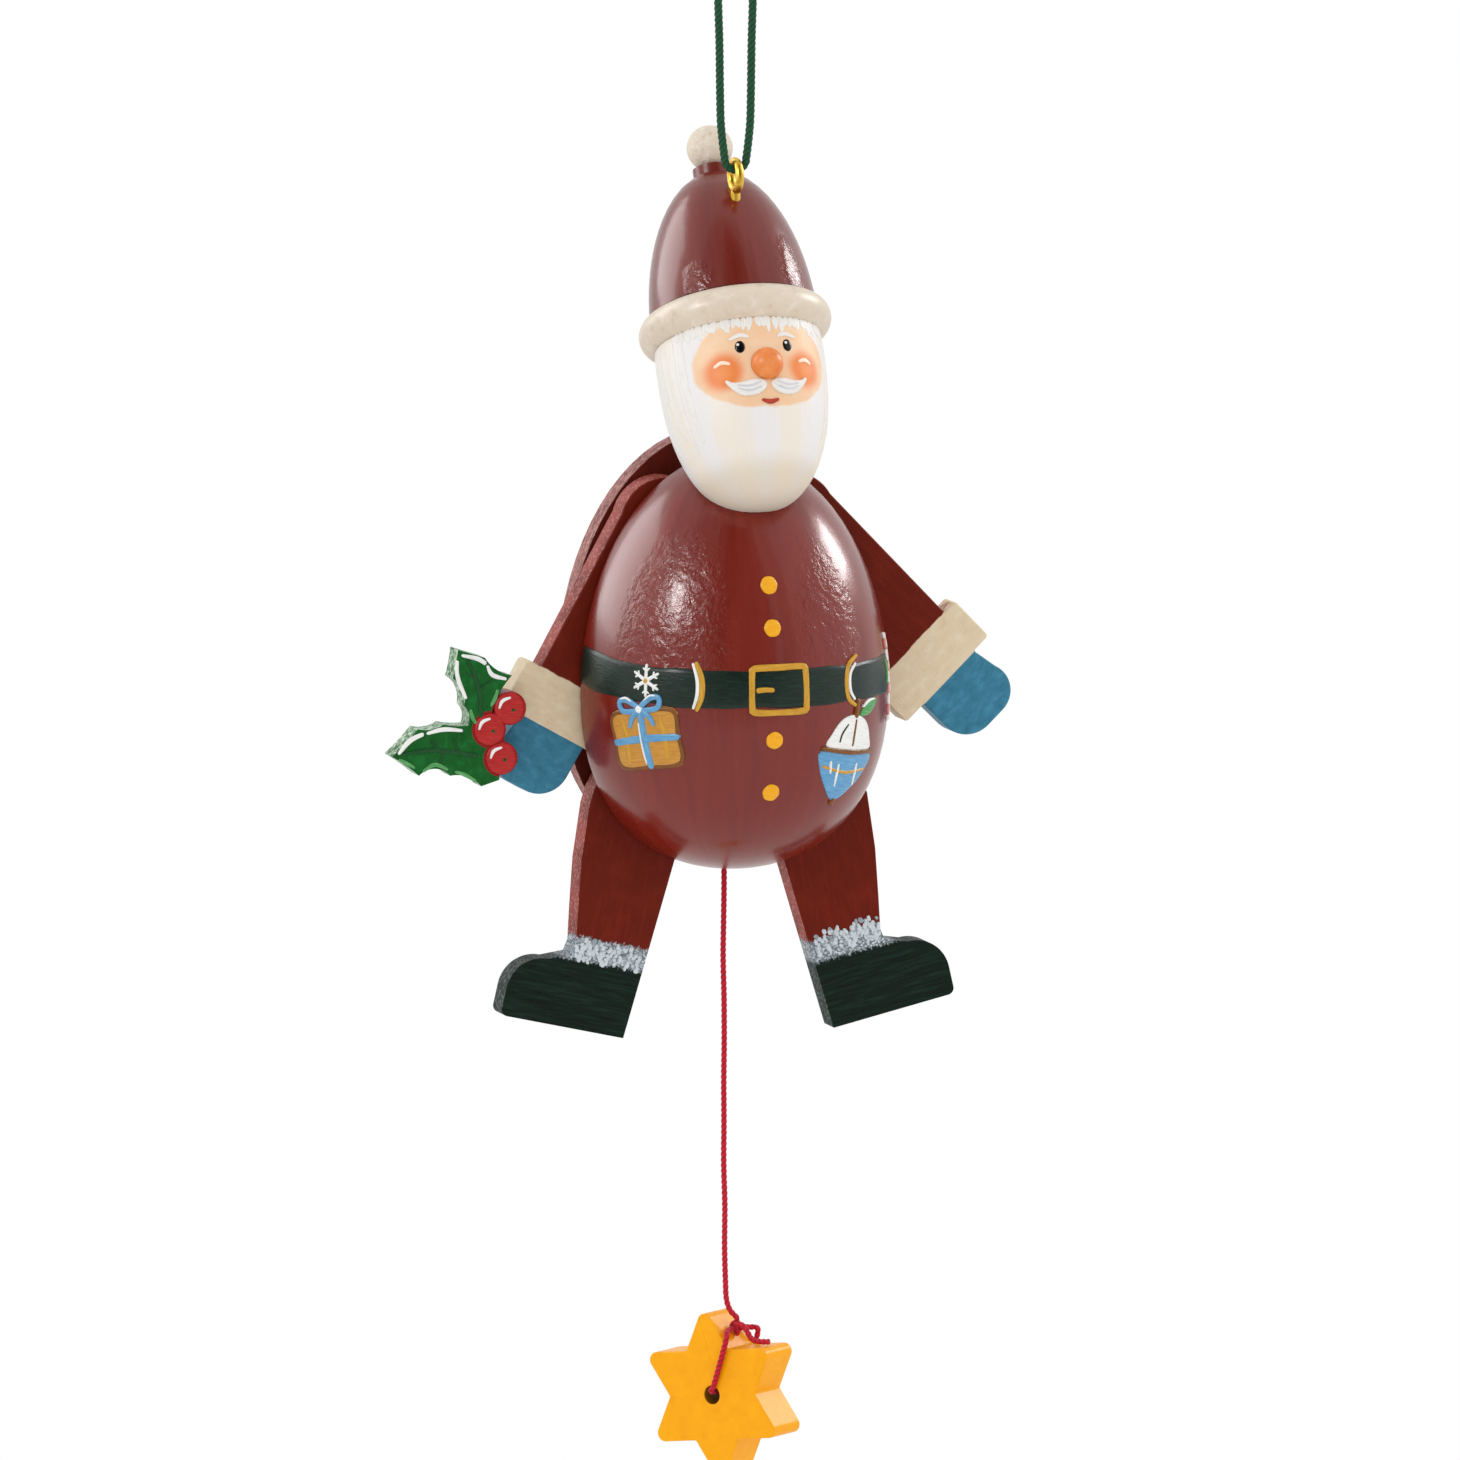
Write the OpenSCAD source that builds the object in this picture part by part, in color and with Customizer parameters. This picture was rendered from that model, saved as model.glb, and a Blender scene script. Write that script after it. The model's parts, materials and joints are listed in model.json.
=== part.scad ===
// Painted wooden jumping jack that hangs by a green cord and is worked by a red pull string.
// Millimetres. X runs to the right as seen from the front, Y to the back and Z up.
// The drawing level is the middle of the belt; the last step hangs the figure from the origin.

/* [Body] */
// Radius of the turned body where it is fattest
body_r = 22.5; // [21:0.5:24]
// Height of the body above its fattest level
body_up = 34; // [33:0.5:36]
// Depth of the body below its fattest level
body_down = 25.7; // [24:0.1:28]
// Width of the slot that the limbs swing in
slot_w = 6.6; // [6:0.1:8]
// Thickness of the flat board behind the limbs
back_t = 4; // [3:0.5:6]

/* [Head] */
// Radius of the turned head where it is fattest
head_r = 12; // [11:0.25:13]
// Lean of the head backwards in degrees
head_tilt = 26; // [22:1:30]
// Radius of the rolled brim of the hat
brim_r = 13.8; // [13.4:0.1:15]
// Height of the rolled brim
brim_h = 5.2; // [4:0.2:5.6]
// Radius of the bead on the tip of the hat
pompom_r = 3.3; // [3:0.1:4]

/* [Limbs] */
// Thickness of the arm and leg boards
limb_t = 4.5; // [3.5:0.1:5]
// Length of an arm from its pivot to the tip of the mitten
arm_len = 42.9; // [42:0.1:46]
// Length of a leg from its pivot to the sole
leg_len = 40.8; // [40:0.2:44]
// Swing of the left arm away from straight down, in degrees, at rest
left_arm_rest = 29.5; // [28:0.5:34]
// Swing of the right arm away from straight down, in degrees, at rest
right_arm_rest = 44.2; // [40:0.1:48]
// Swing of each leg away from straight down, in degrees, at rest
leg_rest = 13; // [12:0.5:15]

/* [Cords] */
// Diameter of the green hanging cord
cord_d = 1.2; // [1:0.1:1.6]
// Diameter of the red pull string
string_d = 0.85; // [0.6:0.05:0.9]

/* [Star] */
// Distance from tip to tip across the star
star_across = 23.6; // [20:0.1:26]
// Thickness of the star
star_t = 6.5; // [4:0.5:7]
// Turn of the star about the string, in degrees
star_turn = -53; // [-60:1:60]

/* [Hidden] */
$fn = 64;
body_red = [0.55, 0.16, 0.13];
board_red = [0.36, 0.10, 0.08];
cream = [0.85, 0.80, 0.70];
leaf_green = [0.10, 0.42, 0.16];
cord_green = [0.16, 0.42, 0.27];
thread_red = [0.78, 0.06, 0.16];
star_yellow = [0.98, 0.68, 0.02];
skin = [0.95, 0.82, 0.68];
nose_orange = [0.93, 0.55, 0.25];
brass = [0.80, 0.62, 0.22];
bare_wood = [0.80, 0.66, 0.47];
big = 100;

// The egg shape of the body: a true ellipse above its fattest level, a fuller one below it.
fat_z = -2.9;
low_power = 2.2;
egg_steps = 18;
slot_mid = slot_w / 2;

// The back board is a little larger than the body, with a true ellipse above its widest level.
board_r = 23;
board_up = 36.5;
back_y = slot_w + back_t;

// The head leans back about the middle of the brim, where its own height is counted from.
brim_y = -1.9;
brim_z = 49.1;
head_fat = -5.7;
head_down = 21.9;
head_power = 2.35;
hat_up = 23.5;
collar_t = 24.1;
collar_r = 2.9;
collar_h = 1.4;
pompom_h = 6.2;
spigot_r = 3;
spigot_depth = 9;
nose_r = 2.3;
nose_t = -9.6;

// The beard sits on a flat cut across the top of the body, square to the plane of symmetry.
seat_y = -6.4;
seat_z = 27.55;
seat_tilt = 25.8;
dowel_r = 2.5;
dowel_half = 6;

// The small block that joins the body and the back board above the slot.
spacer_half = 4.5;
spacer_low = 28.4;
spacer_high = 30.2;

// The wire eye in the hat, which the cord passes through from side to side.
eye_y = -2.1;
eye_z = 70.9;
eye_r = 2.05;
eye_wire_r = 0.6;
eye_shank_r = 0.7;
eye_foot_z = 60.5;

// Pins and pivots: the pins are pressed through the back board and stop inside the body.
pin_r = 1;
pivot_bore_r = 1.075;
pin_depth = 7;
pin_head_r = 1.9;
pin_head_h = 0.7;
arm_pivot = [9.5, 21];
leg_pivot = [11.5, -12];

// Each limb has a short lever on the far side of its pivot, and the draw string pulls it down.
lever_hole_r = 0.8;
lobe_r = 2.2;
arm_lever = 6;
arm_lever_mean = 40;
arm_lever_turn = (left_arm_rest + right_arm_rest) / 2 + 90 + arm_lever_mean;
leg_lever = 8;
leg_lever_rise = 28.57;
leg_lever_turn = leg_rest + 90 + leg_lever_rise;
link_r = 0.25;
link_drop = 3.4;
draw_knot_r = 0.8;
link_gap = 0.02;

// Outline of an arm in its own plane: X away from the body, Y up along the arm from the mitten.
shoulder_r = 6.7;
sleeve_top_half = 6.5;
sleeve_half = 6.4;
cuff_half = 8.65;
cuff_from = 26.3;
cuff_to = 33.6;
cuff_round = 0.6;
neck_inner = -5;
neck_outer = 5.6;
mitten_inner = -4.9;
mitten_outer = 6.6;
inner_round = 4.6;
outer_round = 3.9;

// Outline of a leg in the same manner, with the sole square to the leg.
thigh_r = 5.4;
ankle_d = 30.3;
toe_r = 5.2;
toe_x = 8.6;
toe_tip_round = 1;
heel_half = 5;

// The holly sprig is a cut-out board that is glued on the front of the left mitten.
sprig_t = 3.8;
sprig_front = slot_mid - limb_t / 2 - sprig_t;
berry_r = 2.4;
berries = [[-33.8, -4.0], [-36.8, -6.9], [-35.1, -11.1]];
berry_stem = [-37.2, -8.7];
berry_stem_r = 2.6;

// Corners of the two leaves as [x, z, depth of the hollow between this corner and the next].
upper_leaf = [
    [-36.4, -4.2, 0.35], [-33.5, 0.7, 0.5], [-37.5, 3.4, 0], [-41.5, 4.7, 0.1],
    [-42.3, 0.6, 0.7], [-40.6, -3.4, 0.45], [-40, -6.2, 0], [-37.5, -8.5, 0]
];
lower_leaf = [
    [-37, -6.5, 0], [-40, -6.2, 0.15], [-43.6, -5.9, 0.4], [-47.5, -6.4, 0.1],
    [-51.3, -10.2, 0.1], [-47.3, -13.1, 1], [-42.7, -13.3, 0.65], [-38.1, -15, 0],
    [-35.4, -14.2, 0], [-35.2, -12, 0]
];

// The star has six points and one hole, and is tied by one of its notches.
star_centre = [0.1, slot_mid, -105.4];
star_lean = 7.5;
star_points = 6;
star_tip_r = 1.2;
star_hole_r = 1.3;
star_apex = star_across / 2 + star_tip_r;
star_notch = star_apex / sqrt(3);
tip_centre = star_apex - 2 * star_tip_r;

// Routes of the cords.
cord_ring_sides = 8;
hang_z = 106;
cord_side = 1.6;
cord_bend_z = eye_z + eye_r - eye_wire_r - 0.02 - cord_d / 2 + cord_side;
knot_low_z = 107.6;
knot_ball_r = 1.9;
cord_half_route = [
    [0.85, knot_low_z], [0.85, 107], [1.5, 105.2], [2.1, 103.4], [2.5, 100.5], [2.6, 97],
    [2.4, 90], [2.3, 83], [2.15, 78]
];

// The knot above the star, its tail and the loop, on axes that run along and out of the star.
knot_r = 0.9;
knot_place = [2.15, 9.65, 0];
knot_steps = [-0.9, -0.6, -0.3, 0, 0.3, 0.6, 0.9];
tail_route = [[3.4, 9.9, 0.35], [4.2, 9.6, 0.65], [4.8, 8.8, 0.85], [5.7, 8.25, 0.9], [8.2, 8.2, 0.8]];
loop_half_route = [
    [1.8, 9.5, 0.9], [2.3, 9.3, 2.5], [3.1, 8.9, 3.6], [2.25, 6, 3.6], [0.7, 1.5, 3.5],
    [0.15, 0.75, 3.4], [0, 0.4, 2.2]
];
loop_star_t = 6;

string_exit_z = -29;
string_end = star_centre + [
    knot_place[0] * cos(star_turn), knot_place[0] * sin(star_turn), knot_place[1] + knot_r
];
string_route = [
    [0, slot_mid, string_exit_z], [0, 3.3, -32], [-0.1, 3.2, -37], [-0.2, 3.1, -42],
    [-0.1, 3, -48], [-0.1, 2.9, -54], [-0.2, 2.8, -60], [-0.2, 2.7, -66],
    [-0.3, 2.5, -72], [-0.2, 2.3, -78], [-0.3, 2.1, -84], [-0.2, 2, -89],
    [-0.1, 1.9, -91.5], [0.4, 1.8, -93.2], string_end + [-0.1, 0, 0.6], string_end + [0, 0, 0.3],
    string_end
];

// Shared shapes.

// Half outline of an egg as [radius, height] from its lower tip to its upper one.
function lower_egg(r, depth, power) = [
    for (i = [0:egg_steps])
    let(a = 90 * i / egg_steps)
    [r * pow(sin(a), 2 / power), -depth * pow(cos(a), 2 / power)]
];
function upper_egg(r, height) = [
    for (i = [1:egg_steps])
    let(a = 90 * i / egg_steps)
    [i == egg_steps ? 0 : r * cos(a), height * sin(a)]
];
function egg_side(r, up) = concat(lower_egg(r, body_down, low_power), upper_egg(r, up));

module hung() {
    translate([0, -eye_y, -hang_z]) children();
}

module on_side(side) {
    if (side > 0) {
        children();
    } else {
        mirror([1, 0, 0]) children();
    }
}

// A board of the given thickness whose front face is at y = front, from an outline in x and z.
module board(front, thick) {
    translate([0, front + thick, 0]) rotate([90, 0, 0]) linear_extrude(thick) children();
}

module tilted_head() {
    translate([0, brim_y, brim_z]) rotate([-head_tilt, 0, 0]) children();
}

// Everything above the flat seat between the body and the beard.
module above_seat() {
    translate([0, seat_y, seat_z]) rotate([seat_tilt, 0, 0]) children();
}

module pin_holes(pivot, r) {
    for (side = [-1, 1]) {
        translate([side * pivot[0], -pin_depth, pivot[1]]) rotate([-90, 0, 0]) cylinder(r = r, h = big);
    }
}

module egg_outline(r, up) {
    side = egg_side(r, up);
    other = [for (i = [len(side) - 2:-1:1]) [-side[i][0], side[i][1]]];
    polygon(concat(side, other));
}

// Body.

module body_front() {
    color(body_red)
    hung()
    difference() {
        translate([0, 0, fat_z]) rotate_extrude($fn = 96) polygon(egg_side(body_r, body_up));
        translate([-big / 2, 0, -big / 2]) cube(big);
        above_seat() translate([-big / 2, -big / 2, 0]) cube(big);
        above_seat() translate([0, 0, -dowel_half]) cylinder(r = dowel_r, h = big);
        pin_holes(arm_pivot, pin_r);
        pin_holes(leg_pivot, pin_r);
    }
}

module back_plate() {
    color(board_red)
    hung()
    difference() {
        translate([0, 0, fat_z]) board(slot_w, back_t) egg_outline(board_r, board_up);
        pin_holes(arm_pivot, pin_r);
        pin_holes(leg_pivot, pin_r);
    }
}

module neck_spacer() {
    color(bare_wood)
    hung()
    board(0, slot_w)
    intersection() {
        translate([0, fat_z]) egg_outline(body_r, body_up);
        translate([-spacer_half, spacer_low]) square([2 * spacer_half, spacer_high - spacer_low]);
    }
}

// Head.

// Radius of the ellipse that both the hat and the top of the head follow, at a height above its
// widest level.
function dome_r(height) = head_r * sqrt(1 - pow(height / hat_up, 2));

module head() {
    top = -brim_h / 2 - head_fat;
    upper = [for (i = [1:4]) [dome_r(top * i / 4), top * i / 4]];
    color(skin)
    hung()
    difference() {
        tilted_head()
        difference() {
            translate([0, 0, head_fat])
            rotate_extrude($fn = 96)
            polygon(concat(lower_egg(head_r, head_down, head_power), upper, [[0, top]]));
            translate([0, 0, -spigot_depth]) cylinder(r = spigot_r, h = big);
            translate([0, -head_r, nose_t]) rotate([90, 0, 0]) cylinder(r = nose_r, h = big);
            translate([0, -head_r + nose_r, nose_t]) rotate([90, 0, 0]) cylinder(r = nose_r, h = nose_r);
        }
        above_seat() translate([-big / 2, -big / 2, -big]) cube(big);
        above_seat() translate([0, 0, -dowel_half]) cylinder(r = dowel_r, h = 2 * dowel_half);
    }
}

module nose() {
    color(nose_orange)
    hung()
    tilted_head()
    translate([0, -head_r, nose_t])
    sphere(r = nose_r);
}

module head_dowel() {
    color(bare_wood)
    hung()
    above_seat()
    translate([0, 0, -dowel_half])
    cylinder(r = dowel_r, h = 2 * dowel_half);
}

module hat_brim() {
    roll = brim_h / 2;
    color(cream)
    hung()
    tilted_head()
    difference() {
        union() {
            rotate_extrude($fn = 96) translate([brim_r - roll, 0]) circle(roll);
            translate([0, 0, -roll]) cylinder(r = brim_r - roll, h = brim_h, $fn = 96);
        }
        cylinder(r = spigot_r, h = big, center = true);
    }
}

// The hat narrows to a small collar, and its spigot runs through the brim into the head.
module hat() {
    low = brim_h / 2;
    rings = 14;
    side = [
        for (i = [0:rings])
        let(t = low + (collar_t - collar_h - low) * i / rings)
        [dome_r(t), t]
    ];
    color(body_red)
    hung()
    difference() {
        tilted_head()
        union() {
            rotate_extrude($fn = 96) polygon(concat([[0, low]], side, [[0, collar_t - collar_h]]));
            translate([0, 0, -spigot_depth]) cylinder(r = spigot_r, h = spigot_depth + low + 1);
            translate([0, 0, collar_t - 2 * collar_h]) cylinder(r = collar_r, h = 2 * collar_h);
        }
        translate([0, eye_y, eye_foot_z]) cylinder(r = eye_shank_r, h = big);
        eye_ring();
    }
}

module pompom() {
    color(cream)
    hung()
    tilted_head()
    translate([0, 0, collar_t + pompom_h / 2])
    rotate_extrude($fn = 64)
    intersection() {
        circle(pompom_r);
        translate([0, -pompom_h / 2]) square([pompom_r, pompom_h]);
    }
}

// The ring of the screw eye, which is turned down until it dents the hat.
module eye_ring() {
    translate([0, eye_y, eye_z])
    rotate([0, 90, 0])
    rotate_extrude($fn = 64)
    translate([eye_r, 0])
    circle(eye_wire_r, $fn = 24);
}

module screw_eye() {
    color(brass)
    hung()
    union() {
        eye_ring();
        translate([0, eye_y, eye_foot_z]) cylinder(r = eye_shank_r, h = eye_z - eye_r - eye_foot_z);
    }
}

// Pins.

module pin(side, pivot) {
    dome = (pin_head_r * pin_head_r + pin_head_h * pin_head_h) / (2 * pin_head_h);
    color(brass)
    hung()
    translate([side * pivot[0], 0, pivot[1]])
    rotate([-90, 0, 0])
    union() {
        translate([0, 0, -pin_depth]) cylinder(r = pin_r, h = pin_depth + back_y);
        intersection() {
            translate([0, 0, back_y + pin_head_h - dome]) sphere(r = dome, $fn = 96);
            translate([0, 0, back_y]) cylinder(r = pin_head_r, h = pin_head_h);
        }
    }
}

module shoulder_pin_left() {
    pin(-1, arm_pivot);
}

module shoulder_pin_right() {
    pin(1, arm_pivot);
}

module hip_pin_left() {
    pin(-1, leg_pivot);
}

module hip_pin_right() {
    pin(1, leg_pivot);
}

// Limbs.

// The lever of a limb, turned inward from the limb's own direction by the given angle.
function lever_end(length, turn) = [-length * sin(turn), -length * cos(turn)];

module lever(length, turn) {
    rotate(180 - turn) translate([-lobe_r, 0]) square([2 * lobe_r, length]);
    translate(lever_end(length, turn)) circle(lobe_r);
}

module arm_outline() {
    sleeve_end = -cuff_from - 1;
    neck_top = -cuff_to + 1;
    inner_tip = [mitten_inner + inner_round, -arm_len + inner_round];
    outer_tip = [mitten_outer - outer_round, -arm_len + outer_round];
    circle(shoulder_r);
    lever(arm_lever, arm_lever_turn);
    polygon([
        [-sleeve_top_half, 0], [-sleeve_half, sleeve_end], [sleeve_half, sleeve_end],
        [sleeve_top_half, 0]
    ]);
    translate([-cuff_half + cuff_round, -cuff_to])
    square([2 * (cuff_half - cuff_round), cuff_to - cuff_from]);
    translate([-cuff_half, -cuff_to + cuff_round])
    square([2 * cuff_half, cuff_to - cuff_from - 2 * cuff_round]);
    for (x = [-1, 1]) {
        for (y = [-cuff_to + cuff_round, -cuff_from - cuff_round]) {
            translate([x * (cuff_half - cuff_round), y]) circle(cuff_round);
        }
    }
    polygon([
        [neck_inner, neck_top], [neck_inner, -cuff_to], [mitten_inner, inner_tip[1]],
        [inner_tip[0], -arm_len], [outer_tip[0], -arm_len], [mitten_outer, outer_tip[1]],
        [neck_outer, -cuff_to], [neck_outer, neck_top]
    ]);
    translate(inner_tip) circle(inner_round);
    translate(outer_tip) circle(outer_round);
}

module leg_outline() {
    toe_y = -leg_len + toe_r - toe_tip_round - 0.2;
    toe_front = toe_x + toe_r;
    circle(thigh_r);
    lever(leg_lever, leg_lever_turn);
    polygon([
        [-5.4, 0], [-7.3, -5], [-6.8, -14.3], [-heel_half, -leg_len], [toe_x, -leg_len],
        [toe_x, toe_y + toe_r], [5.3, -ankle_d], [5, -ankle_d + 1.6], [5.8, -24], [6.9, -17],
        [7.5, -9], [7.35, -6.8], [6.2, -2.4], [5.6, 0]
    ]);
    intersection() {
        translate([toe_x, toe_y]) circle(toe_r);
        translate([0, toe_y - 1]) square(toe_front);
    }
    translate([0, -leg_len]) square([toe_front - toe_tip_round, leg_len + toe_y]);
    translate([0, -leg_len + toe_tip_round]) square([toe_front, leg_len - toe_tip_round + toe_y]);
    translate([toe_front - toe_tip_round, -leg_len + toe_tip_round]) circle(toe_tip_round);
}

module limb(side, pivot, rest, length, turn) {
    front = slot_mid - limb_t / 2;
    hung()
    on_side(side)
    translate([pivot[0], 0, pivot[1]])
    rotate([0, -rest, 0])
    board(front, limb_t)
    difference() {
        children();
        circle(pivot_bore_r);
        translate(lever_end(length, turn)) circle(lever_hole_r);
    }
}

module left_arm() {
    color(board_red) limb(-1, arm_pivot, left_arm_rest, arm_lever, arm_lever_turn) arm_outline();
}

module right_arm() {
    color(board_red) limb(1, arm_pivot, right_arm_rest, arm_lever, arm_lever_turn) arm_outline();
}

module left_leg() {
    color(board_red) limb(-1, leg_pivot, leg_rest, leg_lever, leg_lever_turn) leg_outline();
}

module right_leg() {
    color(board_red) limb(1, leg_pivot, leg_rest, leg_lever, leg_lever_turn) leg_outline();
}

// Holly.

// The hollow between two corners of a leaf is cut by a circle whose middle lies outside the leaf.
module hollow(a, b, depth) {
    run = [b[0] - a[0], b[1] - a[1]];
    half = norm(run) / 2;
    r = (half * half + depth * depth) / (2 * depth);
    away = [run[1], -run[0]] / (2 * half);
    middle = [a[0] + b[0], a[1] + b[1]] / 2;
    translate(middle + away * (r - depth)) circle(r, $fn = 96);
}

module leaf(corners) {
    difference() {
        polygon([for (p = corners) [p[0], p[1]]]);
        for (i = [0:len(corners) - 2]) {
            if (corners[i][2] > 0) {
                hollow(corners[i], corners[i + 1], corners[i][2]);
            }
        }
    }
}

module holly_sprig() {
    color(leaf_green)
    hung()
    board(sprig_front, sprig_t)
    union() {
        leaf(upper_leaf);
        leaf(lower_leaf);
        for (place = berries) {
            translate(place) circle(berry_r);
        }
        translate(berry_stem) circle(berry_stem_r);
    }
}

// Strings inside the slot.

function lever_hole(side, pivot, rest, length, turn) = [
    side * (pivot[0] - length * sin(turn - rest)), pivot[1] - length * cos(turn - rest)
];

// A closed loop of thread: through both levers, and before and behind the draw string.
function link_low(left, right) = min(left[1], right[1]) - link_drop;
function link_route(left, right) =
    let(face = slot_mid - limb_t / 2 - link_r - 0.15)
    let(rear = slot_mid + limb_t / 2 + link_r + 0.15)
    let(low = link_low(left, right))
    let(off = string_d / 2 + link_r + link_gap)
    concat(
        [[0, slot_mid - off, low]], link_side(left, low, face, rear),
        [[0, slot_mid + off, low]], link_side(right, low, rear, face)
    );
function link_side(end, low, from_y, to_y) = [
    [0.45 * end[0], from_y, low + 0.45 * (end[1] - low)], [0.9 * end[0], from_y, end[1] - 0.2],
    [end[0], from_y + (to_y - from_y) * 0.15, end[1]],
    [end[0], from_y + (to_y - from_y) * 0.85, end[1]],
    [0.9 * end[0], to_y, end[1] - 0.2], [0.45 * end[0], to_y, low + 0.45 * (end[1] - low)]
];

left_arm_hole = lever_hole(-1, arm_pivot, left_arm_rest, arm_lever, arm_lever_turn);
right_arm_hole = lever_hole(1, arm_pivot, right_arm_rest, arm_lever, arm_lever_turn);
left_leg_hole = lever_hole(-1, leg_pivot, leg_rest, leg_lever, leg_lever_turn);
right_leg_hole = lever_hole(1, leg_pivot, leg_rest, leg_lever, leg_lever_turn);

module arm_link_thread() {
    color(thread_red) hung() loop_tube(link_route(left_arm_hole, right_arm_hole), link_r, [0, 0, 1]);
}

module leg_link_thread() {
    color(thread_red) hung() loop_tube(link_route(left_leg_hole, right_leg_hole), link_r, [0, 0, 1]);
}

// The draw string has a knot above each link thread, which carries the thread down with it.
module draw_string() {
    lows = [link_low(left_arm_hole, right_arm_hole), link_low(left_leg_hole, right_leg_hole)];
    color(thread_red)
    hung()
    translate([0, slot_mid, 0])
    union() {
        translate([0, 0, string_exit_z])
        cylinder(r = string_d / 2, h = lows[0] + 3 - string_exit_z, $fn = 24);
        for (low = lows) {
            translate([0, 0, low + link_r + draw_knot_r + 0.1]) sphere(r = draw_knot_r);
        }
    }
}

// Cords: a tube is one polyhedron that follows its route with a ring of corners at each point.
// Its radius is one number, or a list with one for each point.

function unit(v) = v / norm(v);
function ring_of(at, along, r, side_way) =
    let(u = unit(cross(side_way, along)))
    let(v = cross(along, u))
    [
        for (k = [0:cord_ring_sides - 1])
        let(a = 360 * k / cord_ring_sides)
        at + r * (cos(a) * u + sin(a) * v)
    ];
function side_faces(rings, gaps) = [
    for (i = [0:gaps - 1])
    for (k = [0:cord_ring_sides - 1])
    let(near = i * cord_ring_sides)
    let(far = (i + 1) % rings * cord_ring_sides)
    let(next = (k + 1) % cord_ring_sides)
    [near + k, near + next, far + next, far + k]
];

module tube(route, r, side_way) {
    n = len(route);
    points = [
        for (i = [0:n - 1])
        let(along = unit(route[min(i + 1, n - 1)] - route[max(i - 1, 0)]))
        each ring_of(route[i], along, is_list(r) ? r[i] : r, side_way)
    ];
    start = [for (k = [0:cord_ring_sides - 1]) cord_ring_sides - 1 - k];
    finish = [for (k = [0:cord_ring_sides - 1]) (n - 1) * cord_ring_sides + k];
    polyhedron(points, concat([start], side_faces(n, n - 1), [finish]), convexity = 10);
}

module loop_tube(route, r, side_way) {
    n = len(route);
    points = [
        for (i = [0:n - 1])
        let(along = unit(route[(i + 1) % n] - route[(i + n - 1) % n]))
        each ring_of(route[i], along, r, side_way)
    ];
    polyhedron(points, side_faces(n, n), convexity = 10);
}

function bend_route() = [
    for (a = [0:30:180])
    [cord_side * cos(a), eye_y, cord_bend_z - cord_side * sin(a)]
];
function right_strand() = [for (p = cord_half_route) [p[0], eye_y, p[1]]];
function left_strand() = [
    for (i = [len(cord_half_route) - 1:-1:0])
    [-cord_half_route[i][0], eye_y, cord_half_route[i][1]]
];

module hanging_cord() {
    color(cord_green)
    hung()
    tube(concat(right_strand(), bend_route(), left_strand()), cord_d / 2, [0, 1, 0]);
}

// The overhand knot that closes the loop, with its two cut ends.
module hanging_knot() {
    tail_h = 6;
    turn_r = cord_d / 2 + 0.1;
    color(cord_green)
    hung()
    translate([0, eye_y, knot_low_z])
    union() {
        cylinder(r = knot_ball_r - 0.3, h = 2 * cord_d + 0.6);
        for (z = [turn_r, turn_r + cord_d + 0.2]) {
            translate([0, 0, z])
            rotate_extrude()
            translate([knot_ball_r - turn_r + 0.3, 0])
            circle(turn_r, $fn = 24);
        }
        for (lean = [-14, 10]) {
            translate([0, 0, cord_d]) rotate([0, lean, 0]) cylinder(r = cord_d / 2, h = tail_h, $fn = 24);
        }
    }
}

module pull_string() {
    color(thread_red)
    hung()
    tube(string_route, string_d / 2, [0, 1, 0]);
}

// The star and how it is tied on.

// Axes along the star's face and out of its front, upright.
module star_axes() {
    translate(star_centre) rotate([0, 0, star_turn]) rotate([90, 0, 0]) children();
}

// One point of the star, up to where its round tip begins, and the notch after it.
function star_corner(angle) = [
    for (p = [[tip_centre + star_tip_r / 2, -30], [tip_centre + star_tip_r / 2, 30]])
    let(side = star_tip_r * cos(30) * sign(p[1]))
    [p[0] * cos(angle) - side * sin(angle), p[0] * sin(angle) + side * cos(angle)]
];

module star_outline() {
    step = 360 / star_points;
    polygon([
        for (i = [0:star_points - 1])
        let(angle = 90 + i * step)
        each concat(
            star_corner(angle),
            [[star_notch * cos(angle + step / 2), star_notch * sin(angle + step / 2)]]
        )
    ]);
    for (i = [0:star_points - 1]) {
        rotate(90 + i * step) translate([tip_centre, 0]) circle(star_tip_r, $fn = 32);
    }
}

module star() {
    color(star_yellow)
    hung()
    star_axes()
    rotate(star_lean)
    translate([0, 0, -star_t / 2])
    linear_extrude(star_t)
    difference() {
        star_outline();
        circle(star_hole_r, $fn = 32);
    }
}

// The string runs from the knot down the front of the star, through its hole and up its back.
module star_loop() {
    front = [for (p = loop_half_route) [p[0], p[1], p[2] + (star_t - loop_star_t) / 2]];
    rear = [for (i = [len(front) - 1:-1:0]) [front[i][0], front[i][1], -front[i][2]]];
    color(thread_red)
    hung()
    star_axes()
    tube(concat(front, [[0, 0.4, 0]], rear), string_d / 2, [1, 0, 0]);
}

// The knot swells like a bead on the string, and its tail hangs over the point beside it.
module pull_knot() {
    bead = [for (s = knot_steps) knot_place + [s, 0, 0]];
    bead_r = [for (s = knot_steps) max(string_d / 2, knot_r * sqrt(1 - s * s))];
    tail_r = [for (p = tail_route) string_d / 2];
    color(thread_red)
    hung()
    star_axes()
    tube(concat(bead, tail_route), concat(bead_r, tail_r), [0, 0, 1]);
}

body_front();
back_plate();
neck_spacer();
head();
head_dowel();
hat();
hat_brim();
pompom();
nose();
screw_eye();
hanging_cord();
hanging_knot();
shoulder_pin_left();
shoulder_pin_right();
hip_pin_left();
hip_pin_right();
left_arm();
right_arm();
left_leg();
right_leg();
holly_sprig();
draw_string();
pull_string();
arm_link_thread();
leg_link_thread();
pull_knot();
star_loop();
star();
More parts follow.
